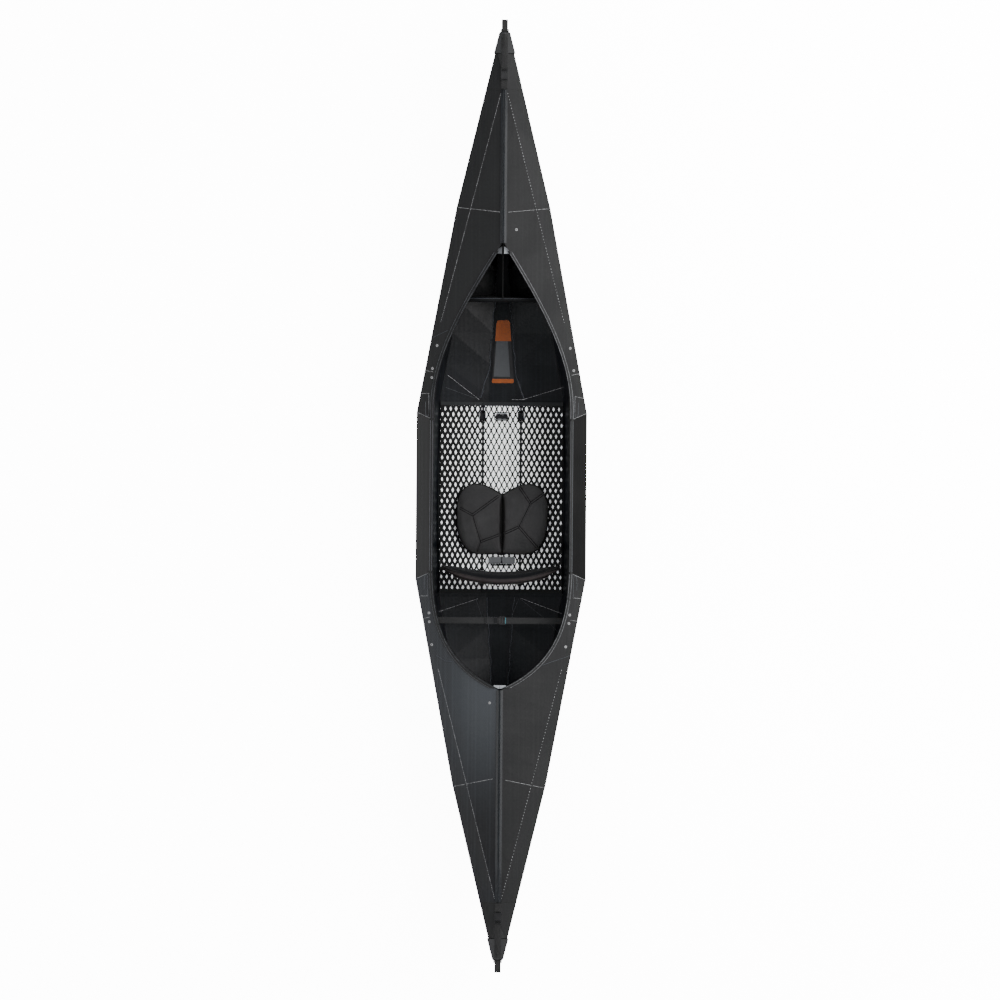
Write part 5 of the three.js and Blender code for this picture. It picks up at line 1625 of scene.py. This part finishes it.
@dataclass
class BowFittings:
    """Bulkhead, foot bar, cord, frosted apex plates and the plain plate on the keel strip."""

    plate_x: float = 0.003
    plate_outline: Tuple[Point2, ...] = (
        (-0.0400, 0.4520), (0.0400, 0.4520), (0.0428, 0.4535), (0.0436, 0.4565), (0.0420, 0.4750),
        (0.0272, 0.6900), (0.0256, 0.6965), (0.0222, 0.7010), (0.0170, 0.7030),
        (-0.0170, 0.7030), (-0.0222, 0.7010), (-0.0256, 0.6965), (-0.0272, 0.6900),
        (-0.0420, 0.4750), (-0.0436, 0.4565), (-0.0428, 0.4535),
    )
    plate_z: float = 0.006
    gleam_half: float = 0.222
    gleam_y: float = 0.7835
    apex_drop: float = 0.0115

    def build(self) -> None:
        """Dresses the bow's inner pieces, adds the plates and a painted highlight along the foot bar."""
        dress_nodes(SHEET, "bulkhead")
        dress_nodes(GLOSS, "foot_bar")
        # Painted highlight: a pale bead along the foot bar's top.
        ends = [(x, self.gleam_y) for x in (-self.gleam_half, self.gleam_half)]
        Trees.grow("bead", "foot_bar_gleam", [Skin(["foot_bar"]).path(ends, 0.012)], FAINT_CREASE_AND_GLEAM, "board",
                   "hull", Radius=0.0012, Sides=6)
        soften("bulkhead_cord", "bulkhead_cord_braid", CORD, "hull", width=0.0003)
        self.keel_plate()
        for end, low, high, reach in ((End.BOW, 0.958, 0.985, 0.034), (End.STERN, 0.7485, 0.7615, 0.024)):
            for side in Side:
                finish = CLEAR_GREY if side is Side.LEFT and end is End.BOW else CLEAR
                self.apex_plate(end, side, low, high, reach, finish)
        LOG.info("bow fittings: bulkhead, cord and plates made")

    def keel_plate(self) -> None:
        """Thin plain plate stuck on the keel strip."""
        skin = Skin(["keel_bow"])
        rings = []
        for lift in (0.0002, 0.0007):
            ring = []
            for x, y in self.plate_outline:
                found = skin.under(self.plate_x + x, y)
                ring.append(Vector((self.plate_x + x, y, (found[0].z if found else self.plate_z) + lift)))
            rings.append(ring)
        mesh = lofted("keel_plate", rings, smooth=False, split_caps=True)
        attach(new_piece("keel_plate", mesh, PLATE), "hull")

    def apex_plate(self, end: End, side: Side, low: float, high: float, reach: float,
                   finish: Finish) -> None:
        """Frosted plate under one leaf's trim at the cockpit's apex.

        Args:
            end: the end of the boat.
            side: the side.
            low: its lower station.
            high: its upper station.
            reach: how far it goes outwards.
            finish: its finish.
        """
        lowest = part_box(f"trim_{end.word}_{side.word}")[0]
        skin = Skin([f"deck_{end.word}_{side.word}"])
        top = skin.under(side.value * 0.03, end.value * high)
        z = (top[0].z if top else lowest.z) - self.apex_drop
        near = 0.0042 if end is End.BOW else 0.0006
        ring = [(near, low), (reach, low), (reach, low + 0.006), (near + 0.004, high), (near, high)]
        rings = [[Vector((side.value * x, end.value * y, z + rise)) for x, y in ring]
                 for rise in (0.0, 0.001)]
        mesh = lofted("apex_plate", rings, smooth=False)
        piece = new_piece(f"apex_plate_{end.word}_{side.word}", mesh, finish)
        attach(piece, f"deck_{end.word}_{side.word}")


@dataclass
class Floor:
    """Floorboard with its printed face, slot frames, grip and what crosses the seat's link."""

    slot_inner_x: float = 0.0640
    slot_outer_x: float = 0.0880
    slot_ys: Tuple[float, float] = (0.3005, 0.3375)
    slot_walls: Tuple[float, float] = (0.0034, 0.0044)
    slot_height: float = 0.0026
    slot_sink: float = 0.0004
    edge_x: float = 0.0896
    edge_ys: Tuple[float, float] = (0.3080, 0.3330)
    grip_corner: Point2 = (0.0290, 0.0245)
    grip_ys: Tuple[float, float, float, float] = (0.3030, 0.3070, 0.3300, 0.3340)
    cord_x: float = 0.004
    cord_ys: Tuple[float, float, float] = (-0.233, -0.2425, -0.2640)
    strap_y: float = -0.2755
    band_xs: Tuple[float, ...] = (-0.040, -0.020, 0.0, 0.020, 0.045)

    def build(self) -> None:
        """Dresses the board and what is fixed to it."""
        dress_nodes(BOARD, "floorboard")
        dress_nodes(LINK, "seat_link")
        dress_nodes(BUCKLE, "backrest_hinge")
        for side in Side:
            soften(f"backrest_stay_{side.word}", f"backrest_stay_webbing_{side.word}", WEBBING, "floor")
        skin = Skin(["floorboard"])
        for side in Side:
            self.slot_frame(skin, side)
        self.grip(skin)
        self.link_cord(skin)
        LOG.info("floor: board dressed")

    def slot_frame(self, skin: Skin, side: Side) -> None:
        """Black frame round a strap slot, with the strap's pale edge outside it.

        Args:
            skin: the board's skin.
            side: the side.
        """
        x0, x1 = sorted((side.value * self.slot_inner_x, side.value * self.slot_outer_x))
        low, high = self.slot_ys
        wall_x, wall_y = self.slot_walls
        bars = ((x0, x0 + wall_x, low, high), (x1 - wall_x, x1, low, high),
                (x0, x1, low, low + wall_y), (x0, x1, high - wall_y, high))
        spots = [skin.under(x, low - 0.012) for x in (x0, x0 + wall_x, x1 - wall_x, x1)]
        z = max(spot[0].z for spot in spots if spot) - self.slot_sink
        build = bmesh.new()
        for a, b, c, d in bars:
            add_bar(build, (b - a, d - c, self.slot_height), ((a + b) / 2, (c + d) / 2, z))
        piece = new_piece(f"slot_frame_{side.word}", mesh_from("slot_frame", build), PRESSED_AND_PAINTED_SHADE)
        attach(piece, "floor")
        edge = skin.path([(side.value * self.edge_x, y) for y in self.edge_ys], 0.005, 3 * MARK_LIFT)
        Trees.grow("bead", f"slot_strap_edge_{side.word}", [edge], CLEAR, "webbing", "floor",
                   Radius=0.0010, Sides=6)

    def grip(self, skin: Skin) -> None:
        """Black frame, pale bar, painted shadow line and grey lip of the grip.

        Args:
            skin: the board's skin.
        """
        far, near = self.grip_corner
        rear, rear_corner, front_corner, front = self.grip_ys
        outline = ((-near, front), (near, front), (far, front_corner), (far, rear_corner), (near, rear),
                   (-near, rear), (-far, rear_corner), (-far, front_corner), (-near, front))
        z = self.middle_z(skin)
        for name, points, finish, radius in (
                ("grip_frame", outline, PRESSED_AND_PAINTED_SHADE, 0.0019),
                ("grip_bar", ((-0.0205, 0.3300), (0.0205, 0.3300)), CLEAR, 0.0016),
                ("grip_shadow", ((-0.0245, 0.3274), (0.0245, 0.3274)), PRESSED_AND_PAINTED_SHADE, 0.0012),
                ("grip_lip", ((-0.0235, 0.3060), (0.0235, 0.3060)), SOFT_HIGHLIGHT_AND_LIP, 0.0017)):
            laid = [(Vector((x, y, z + 3 * MARK_LIFT)), UP) for x, y in points]
            Trees.grow("bead", name, [laid], finish, "board", "floor", Radius=radius, Sides=8)

    @staticmethod
    def middle_z(skin: Skin) -> float:
        """Height of the board's middle panel."""
        found = skin.under(0.004, 0.345)
        return found[0].z if found else 0.0135

    def link_cord(self, skin: Skin) -> None:
        """Cord from the seat's crease over the link, its knot, and a dark band on the board behind the link.

        Args:
            skin: the board's skin.
        """
        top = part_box("seat_link")[1].z
        board = self.middle_z(skin)
        heights = (board + 0.004, top + 0.001, top + 0.001)
        cord = [(Vector((self.cord_x, y, z)), UP) for y, z in zip(self.cord_ys, heights)]
        Trees.grow("bead", "seat_cord", [cord], PRESSED_AND_PAINTED_SHADE, "webbing", "floor", Radius=0.0015, Sides=8)
        knot = (Vector((self.cord_x, self.cord_ys[-1], top)), UP)
        Trees.grow("rivets", "seat_cord_knot", [[knot]], PRESSED_AND_PAINTED_SHADE, "webbing", "floor",
                   Radius=0.0034, Height=0.0035, Sides=14)
        strap = [(Vector((x, self.strap_y, board + 0.0016)), UP) for x in self.band_xs]
        Trees.grow("bead", "link_dark_band", [strap], PRESSED_AND_PAINTED_SHADE, "webbing", "floor", Radius=0.0030, Sides=8)


@dataclass
class SeatCushion:
    """One half of the seat: swollen foam with double embossed channels."""

    side: Side
    channels: Tuple[Tuple[Point2, ...], ...]
    single_runs: Tuple[Tuple[int, int], ...] = ()
    middle_x: float = 0.005
    half_width: float = 0.185
    front_y: float = 0.051
    rear_y: float = -0.238
    notch: float = 0.040
    height: float = 0.030
    half_gap: float = 0.0004
    seat_gap: float = 0.0003
    swell: float = 0.0015
    board_z: float = 0.0116
    hinge_x: float = 0.076
    keel_to_hinge: float = 0.022
    bilge_slope: float = 0.016 / 0.196
    line_spread: float = 0.0036
    lip_press: float = 0.0019
    lip_reach: float = 0.0042
    lip_width: float = 0.0014
    bed_press: float = 0.0012
    bed_width: float = 0.0085
    top_rise: float = 0.3
    spare: float = 0.001
    curves: Tuple[Tuple[Point2, ...], ...] = (
        ((0.12, 0.10), (0.33, 0.0), (0.57, 0.0)), ((0.83, 0.0), (1.0, 0.14), (1.0, 0.38)),
        ((1.0, 0.66), (0.93, 0.85), (0.72, 0.95)), ((0.62, 1.0), (0.25, 1.0), (0.0, 0.985)),
    )
    profile: Tuple[Point2, ...] = (
        (0.93, 0.0), (0.985, 0.14), (1.0, 0.38), (0.985, 0.66), (0.94, 0.86), (0.86, 0.97), (0.66, 1.13),
        (0.42, 1.23), (0.2, 1.26),
    )

    def spot(self, pair: Point2) -> Vector:
        """Place in plan of a pair of shares."""
        across, behind = pair
        x = self.middle_x + self.side.value * (self.half_gap + across * (self.half_width - self.half_gap))
        return Vector((x, self.front_y + behind * (self.rear_y - self.front_y)))

    def floor_z(self, x: float) -> float:
        """Height of the floorboard's top under the cushion."""
        rise = self.bilge_slope * (self.keel_to_hinge + max(0.0, abs(x) - self.hinge_x))
        return self.board_z + rise

    def outline(self) -> List[Vector]:
        """The cushion's outline in plan."""
        start = (0.0, self.notch / (self.front_y - self.rear_y))
        points = [self.spot(start)]
        here = self.spot(start)
        for a, b, c in self.curves:
            pa, pb, pc = self.spot(a), self.spot(b), self.spot(c)
            for i in range(1, 13):
                t, s = i / 12, 1 - i / 12
                points.append(here * s ** 3 + pa * 3 * s * s * t + pb * 3 * s * t * t + pc * t ** 3)
            here = pc
        return points

    def build(self) -> None:
        """Makes, inflates and embosses the cushion."""
        outline = self.outline()
        middle = sum(outline, Vector((0.0, 0.0))) / len(outline)
        rings = []
        for share, rise in self.profile:
            ring = []
            for p in outline:
                reach = (p - middle).length
                q = middle + (p - middle) * (share * (1 + self.swell / reach))
                base = self.floor_z(q.x) + self.seat_gap
                ring.append(Vector((q.x, q.y, base + rise * (self.height - self.spare))))
            rings.append(ring)
        word = self.side.word
        piece = new_piece(f"seat_cushion_{word}", lofted(f"seat_cushion_{word}", rings), FOAM)
        inflate(piece, voxel=0.0045, pressure=3.0, cap=0.004)
        self.settle(piece)
        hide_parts(f"seat_{word}")
        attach(piece, f"seat_{word}")
        self.lines(piece)
        LOG.info("seat cushion %s: %d vertices", word, len(piece.data.vertices))

    def lines(self, piece: bpy.types.Object) -> None:
        """Painted shade: dark lines down the channels, two on a channel's first run, one on the rest.

        Args:
            piece: the finished cushion.
        """
        skin = Skin([], [piece.data])
        paths = []
        for number, channel in enumerate(self.channels):
            spots = [self.spot(pair) for pair in channel]
            for index, (a, b) in enumerate(zip(spots, spots[1:])):
                out = Vector((b.y - a.y, a.x - b.x)).normalized()
                single = (number, index) in self.single_runs
                for offset in ((0.0,) if single else (-self.line_spread, self.line_spread)):
                    plan = [a + out * offset, b + out * offset]
                    paths.append(skin.path([(p.x, p.y) for p in plan], 0.004))
        word = self.side.word
        Trees.grow("bead", f"seat_channel_lines_{word}", [p for p in paths if len(p) > 1], PRESSED_AND_PAINTED_SHADE, "foam",
                   f"seat_{word}", Radius=0.0011, Sides=6)

    def settle(self, piece: bpy.types.Object) -> None:
        """Keeps the cushion in its space and presses its channels in.

        Args:
            piece: the inflated cushion.
        """
        lines = [[self.spot(pair) for pair in line] for line in self.channels]
        low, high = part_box(f"seat_{self.side.word}")
        rises = [v.normal.z for v in piece.data.vertices]
        for vertex, rise in zip(piece.data.vertices, rises):
            co = vertex.co
            if rise > self.top_rise:
                r = min(distance_to(line, co.xy) for line in lines)
                press = self.lip_press * math.exp(-((r - self.lip_reach) / self.lip_width) ** 2)
                press += self.bed_press * math.exp(-(r / self.bed_width) ** 2)
                co.z -= press * min(1.0, (rise - self.top_rise) / self.top_rise)
            co.z = max(co.z, self.floor_z(co.x) + self.seat_gap)
            co.z = min(co.z, high.z + self.spare)
            co.y = min(max(co.y, low.y - self.spare), high.y + self.spare)
            if self.side is Side.LEFT:
                co.x = min(max(co.x, low.x - self.spare), self.middle_x - self.half_gap)
            else:
                co.x = max(min(co.x, high.x + self.spare), self.middle_x + self.half_gap)
        piece.data.update()


def distance_to(line: Sequence[Vector], point: Vector) -> float:
    """Distance in plan from a point to a line of corners.

    Args:
        line: the corners.
        point: the point.

    Returns:
        The least distance.
    """
    best = 1.0
    for a, b in zip(line, line[1:]):
        run = b - a
        share = max(0.0, min(1.0, (point - a).dot(run) / run.length_squared))
        best = min(best, (point - a - run * share).length)
    return best


def inflate(piece: bpy.types.Object, voxel: float, pressure: float, cap: float, frames: int = 18) -> None:
    """Remeshes a soft piece, blows it up a little with cloth, and applies the result.

    Args:
        piece: the soft piece.
        voxel: size of the remesh.
        pressure: the cloth's pressure.
        cap: how far a point may move.
        frames: how many frames run.
    """
    remesh = piece.modifiers.new("remesh", "REMESH")
    remesh.mode = "VOXEL"
    remesh.voxel_size = voxel
    remesh.use_smooth_shade = True
    applied(piece)
    rest = [v.co.copy() for v in piece.data.vertices]
    cloth = piece.modifiers.new("cloth", "CLOTH")
    cloth.settings.use_pressure = True
    cloth.settings.uniform_pressure_force = pressure
    cloth.settings.effector_weights.gravity = 0.0
    cloth.settings.quality = 5
    cloth.settings.tension_stiffness = 20
    cloth.settings.compression_stiffness = 20
    cloth.point_cache.frame_start = 1
    cloth.point_cache.frame_end = frames
    for step in range(1, frames + 1):
        bpy.context.scene.frame_set(step)
    applied(piece)
    bpy.context.scene.frame_set(1)
    for vertex, start in zip(piece.data.vertices, rest):
        move = vertex.co - start
        if move.length > cap:
            vertex.co = start + move * (cap / move.length)
    smooth = piece.modifiers.new("smooth", "SMOOTH")
    smooth.factor = 0.5
    smooth.iterations = 3
    rounded = piece.modifiers.new("rounded", "SUBSURF")
    rounded.levels = 1
    rounded.render_levels = 1
    applied(piece)
    for face in piece.data.polygons:
        face.use_smooth = True


@dataclass
class Seat:
    """The two cushions and a dark strip on the board below the crease between them, which is painted shade.
    """

    left_channels: Tuple[Tuple[Point2, ...], ...] = (
        ((0.91, 0.35), (0.64, 0.44), (0.09, 0.18)), ((0.64, 0.44), (0.46, 0.81), (0.07, 0.715)),
        ((0.46, 0.81), (0.53, 0.94)),
    )
    right_channels: Tuple[Tuple[Point2, ...], ...] = (
        ((0.37, 0.055), (0.605, 0.275), (0.87, 0.15)), ((0.605, 0.275), (0.36, 0.6), (0.07, 0.685)),
        ((0.36, 0.6), (0.75, 0.88)),
    )
    tape_x: float = 0.005
    tape_half: float = 0.014
    tape_ys: Tuple[float, float] = (0.0095, -0.2360)
    tape_lifts: Tuple[float, float] = (0.0001, 0.0007)
    board_top: float = 0.0135

    def build(self) -> None:
        """Makes both halves and the strip of painted shade."""
        SeatCushion(Side.LEFT, self.left_channels, ((1, 0), (2, 0))).build()
        SeatCushion(Side.RIGHT, self.right_channels, ((1, 0),)).build()
        self.tape()

    def tape(self) -> None:
        """Painted shade: a dark strip on the board along the crease where the halves fold."""
        skin = Skin(["floorboard"])
        half = self.tape_half
        low, high = self.tape_lifts
        front, rear = self.tape_ys
        rings = []
        for i in range(13):
            y = front + (rear - front) * i / 12
            found = skin.under(self.tape_x, y)
            z = found[0].z if found else self.board_top
            rings.append([Vector((self.tape_x + x, y, z + lift))
                          for x, lift in ((-half, low), (half, low), (half, high), (-half, high))])
        mesh = lofted("seat_crease_tape", rings, smooth=False)
        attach(new_piece("seat_crease_tape", mesh, WEBBING), "floor")


@dataclass
class Backrest:
    """Padded band bowed round the paddler, on its stiff shell."""

    half_width: float = 0.238
    middle_y: float = -0.306
    bow: float = 0.048
    bottom_z: float = 0.058
    top_z: float = 0.238
    thickness: float = 0.026
    lean: float = 0.1
    end_share: float = 0.45
    bulge: float = 0.009
    painted_shade_depth: float = 0.006
    spread: float = 1.003
    height_inset: float = 0.002
    depth_inset: float = 0.0015
    piping_reach: float = 0.955
    piping_rise: float = 0.985
    piping_depth: float = 0.0055

    def spot(self, share: float, z: float, depth: float) -> Vector:
        """Point of the pad.

        Args:
            share: the place across, from -1 to 1.
            z: the height.
            depth: how far the point lies behind the front face.

        Returns:
            The point.
        """
        y = self.middle_y + self.bow * share * share - self.lean * (z - self.bottom_z) - depth
        return Vector((share * self.half_width, y, z))

    def build(self) -> None:
        """Makes the pad and dresses the shell."""
        dress_nodes(BOARD_PLAIN, "backrest_shell")
        rings = []
        for i in range(41):
            share = (2 * i / 40 - 1) * self.spread
            draw = math.sqrt(1 - min(1.0, abs(share)) ** 4 * (1 - self.end_share ** 2))
            half_height = ((self.top_z - self.bottom_z) / 2 - self.height_inset) * draw
            half_depth = (self.thickness / 2 - self.depth_inset) * draw
            ring = []
            for k in range(20):
                angle = 2 * math.pi * (k + 0.5) / 20
                up = math.copysign(math.sqrt(abs(math.sin(angle))), math.sin(angle))
                back = math.copysign(math.sqrt(abs(math.cos(angle))), math.cos(angle))
                z = (self.top_z + self.bottom_z) / 2 + half_height * up
                swell = self.bulge * max(0.0, 1 - share * share) * max(0.0, -back) ** 2
                ring.append(self.spot(share, z, self.thickness / 2 + half_depth * back - swell))
            rings.append(ring)
        piece = new_piece("backrest_cushion", lofted("backrest_cushion", rings), PAD_FRONT_PAINTED_SHADE)
        inflate(piece, voxel=0.005, pressure=2.0, cap=0.002)
        # The pad's front keeps a near-black colour as painted shade; faces further back take the rim's grey,
        # the pad's own colour.
        piece.data.materials.append(PAD_RIM.build())
        for face in piece.data.polygons:
            depth = self.spot(face.center.x / self.half_width, face.center.z, 0.0).y - face.center.y
            if face.normal.y < 0.55 and depth > self.painted_shade_depth:
                face.material_index = 1
        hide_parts("backrest_pad")
        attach(piece, "backrest")
        self.piping()
        LOG.info("backrest: %d vertices", len(piece.data.vertices))

    def piping(self) -> None:
        """Bead round the front edge of the pad."""
        ring: List[Laid] = []
        for up, shares in ((1, range(0, 49)), (-1, range(48, -1, -1))):
            for i in shares:
                share = (2 * i / 48 - 1) * self.piping_reach
                draw = math.sqrt(1 - abs(share) ** 4 * (1 - self.end_share ** 2))
                rise = (self.top_z - self.bottom_z) / 2 * draw * self.piping_rise
                z = (self.top_z + self.bottom_z) / 2 + up * rise
                ring.append((self.spot(share, z, self.piping_depth), Vector((0.0, 1.0, 0.0))))
        ring.append(ring[0])
        Trees.grow("bead", "backrest_piping", [ring], THREAD, "foam", "backrest", Radius=0.0014, Sides=8)


@dataclass
class CrossStrap:
    """Webbing across the stern of the cockpit, with a slider and a coloured stitch."""

    y: float = -0.495
    z: float = 0.200
    slider_x: float = 0.0085
    slider_bar_xs: Tuple[float, ...] = (-0.010, 0.0, 0.010)
    slider_bar: Tuple[float, float, float] = (0.0032, 0.031, 0.0022)
    slider_bar_z: float = 0.0026
    slider_side_y: float = 0.01445
    slider_side: Tuple[float, float, float] = (0.0232, 0.0030, 0.0030)
    slider_side_z: float = 0.0022
    stitch_x: float = 0.0206
    stitch_half: float = 0.0115
    webbing_top: float = 0.0013

    def build(self) -> None:
        """Replaces the webbing and adds the slider and the stitch."""
        dress_nodes(BUCKLE, "cross_buckle_plug", "cross_buckle_socket")
        for side in Side:
            soften(f"cross_strap_{side.word}", f"cross_webbing_{side.word}", WEBBING_ACROSS, "hull")
        self.slider()
        path = [(Vector((self.stitch_x, self.y + y, self.z + self.webbing_top)), UP)
                for y in (-self.stitch_half, self.stitch_half)]
        Trees.grow("dashes", "cross_strap_stitch", [path], TEAL, "webbing", "hull",
                   Spacing=0.0022, Length=0.0021, Width=0.0028, Height=0.0005, Variation=0.1, Seed=4)
        LOG.info("cross strap: webbing, slider and stitch made")

    def slider(self) -> None:
        """Three-bar slider threaded on the webbing."""
        build = bmesh.new()
        for x in self.slider_bar_xs:
            add_bar(build, self.slider_bar, (x, 0.0, self.slider_bar_z))
        for y in (-self.slider_side_y, self.slider_side_y):
            add_bar(build, self.slider_side, (0.0, y, self.slider_side_z))
        bmesh.ops.translate(build, vec=Vector((self.slider_x, self.y, self.z)), verts=build.verts)
        piece = new_piece("cross_strap_slider", mesh_from("cross_strap_slider", build), BUCKLE)
        bevel = piece.modifiers.new("rounded", "BEVEL")
        bevel.width = 0.0006
        bevel.segments = 2
        applied(piece)
        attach(piece, "hull")


@dataclass
class Studio:
    """White floor, soft lights and the camera straight above."""

    height: float = 30.0
    frame_width: float = 3.96
    centre: Point2 = (-0.0046, -0.0158)
    roll_deg: float = 0.45
    deck_z: float = 0.3
    sensor_mm: float = 36.0
    floor_reach: float = 40.0
    floor_z: float = -0.001

    def build(self) -> None:
        """Makes the stage."""
        scene = bpy.context.scene
        self.floor()
        world = bpy.data.worlds.new("studio")
        world.use_nodes = True
        world.node_tree.nodes["Background"].inputs[0].default_value = (0.93, 0.95, 1.0, 1.0)
        world.node_tree.nodes["Background"].inputs[1].default_value = 0.75
        scene.world = world
        self.light("key", place=(4.5, 1.0, 4.0), size=6.5, power=1240.0)
        self.light("fill", place=(-5.0, -1.5, 4.5), size=5.5, power=470.0)
        self.light("bow", place=(1.0, 5.5, 4.5), size=3.5, power=285.0)
        camera = bpy.data.cameras.new("camera")
        camera.type = "PERSP"
        camera.sensor_width = self.sensor_mm
        camera.lens = self.sensor_mm * (self.height - self.deck_z) / self.frame_width
        camera.clip_end = 200.0
        holder = bpy.data.objects.new("camera", camera)
        holder.location = (*self.centre, self.height)
        holder.rotation_euler = (0.0, 0.0, math.radians(self.roll_deg))
        scene.collection.objects.link(holder)
        scene.camera = holder
        LOG.info("studio: floor, lights and camera made")

    def floor(self) -> None:
        """Large plain floor just under the boat."""
        mesh = bpy.data.meshes.new("floor")
        corners = ((-1, -1), (1, -1), (1, 1), (-1, 1))
        mesh.from_pydata([(x * self.floor_reach, y * self.floor_reach, self.floor_z) for x, y in corners],
                         [], [(0, 1, 2, 3)])
        made = bpy.data.objects.new("studio_floor", mesh)
        bpy.context.scene.collection.objects.link(made)
        paint = bpy.data.materials.new("studio_floor")
        paint.use_nodes = True
        shader = paint.node_tree.nodes["Principled BSDF"]
        shader.inputs["Base Color"].default_value = (0.9, 0.9, 0.9, 1.0)
        shader.inputs["Roughness"].default_value = 0.9
        shader.inputs["Emission Color"].default_value = (1.0, 1.0, 1.0, 1.0)
        net = Net(paint.node_tree)
        seen = net.node("ShaderNodeLightPath").outputs["Is Camera Ray"]
        net.feed(shader.inputs["Emission Strength"], net.math("MULTIPLY_ADD", seen, 11.0, 0.6))
        mesh.materials.append(paint)

    def light(self, name: str, place: Tuple[float, float, float], size: float, power: float) -> None:
        """One large area light that looks at the boat.

        Args:
            name: its name.
            place: its place.
            size: its side.
            power: its power in watts.
        """
        lamp = bpy.data.lights.new(name, "AREA")
        lamp.size = size
        lamp.energy = power
        holder = bpy.data.objects.new(name, lamp)
        holder.location = place
        holder.rotation_euler = (-Vector(place)).to_track_quat("-Z", "Y").to_euler()
        bpy.context.scene.collection.objects.link(holder)


def main() -> None:
    """Builds every sub-assembly in order."""
    logging.basicConfig(level=logging.INFO, format="%(name)s: %(message)s")
    Studio().build()
    for assembly in (Hull, Decks, CockpitEdge, TipFittings, BowFittings, Floor, Seat, Backrest, CrossStrap):
        assembly().build()


if __name__ == "__main__":
    main()
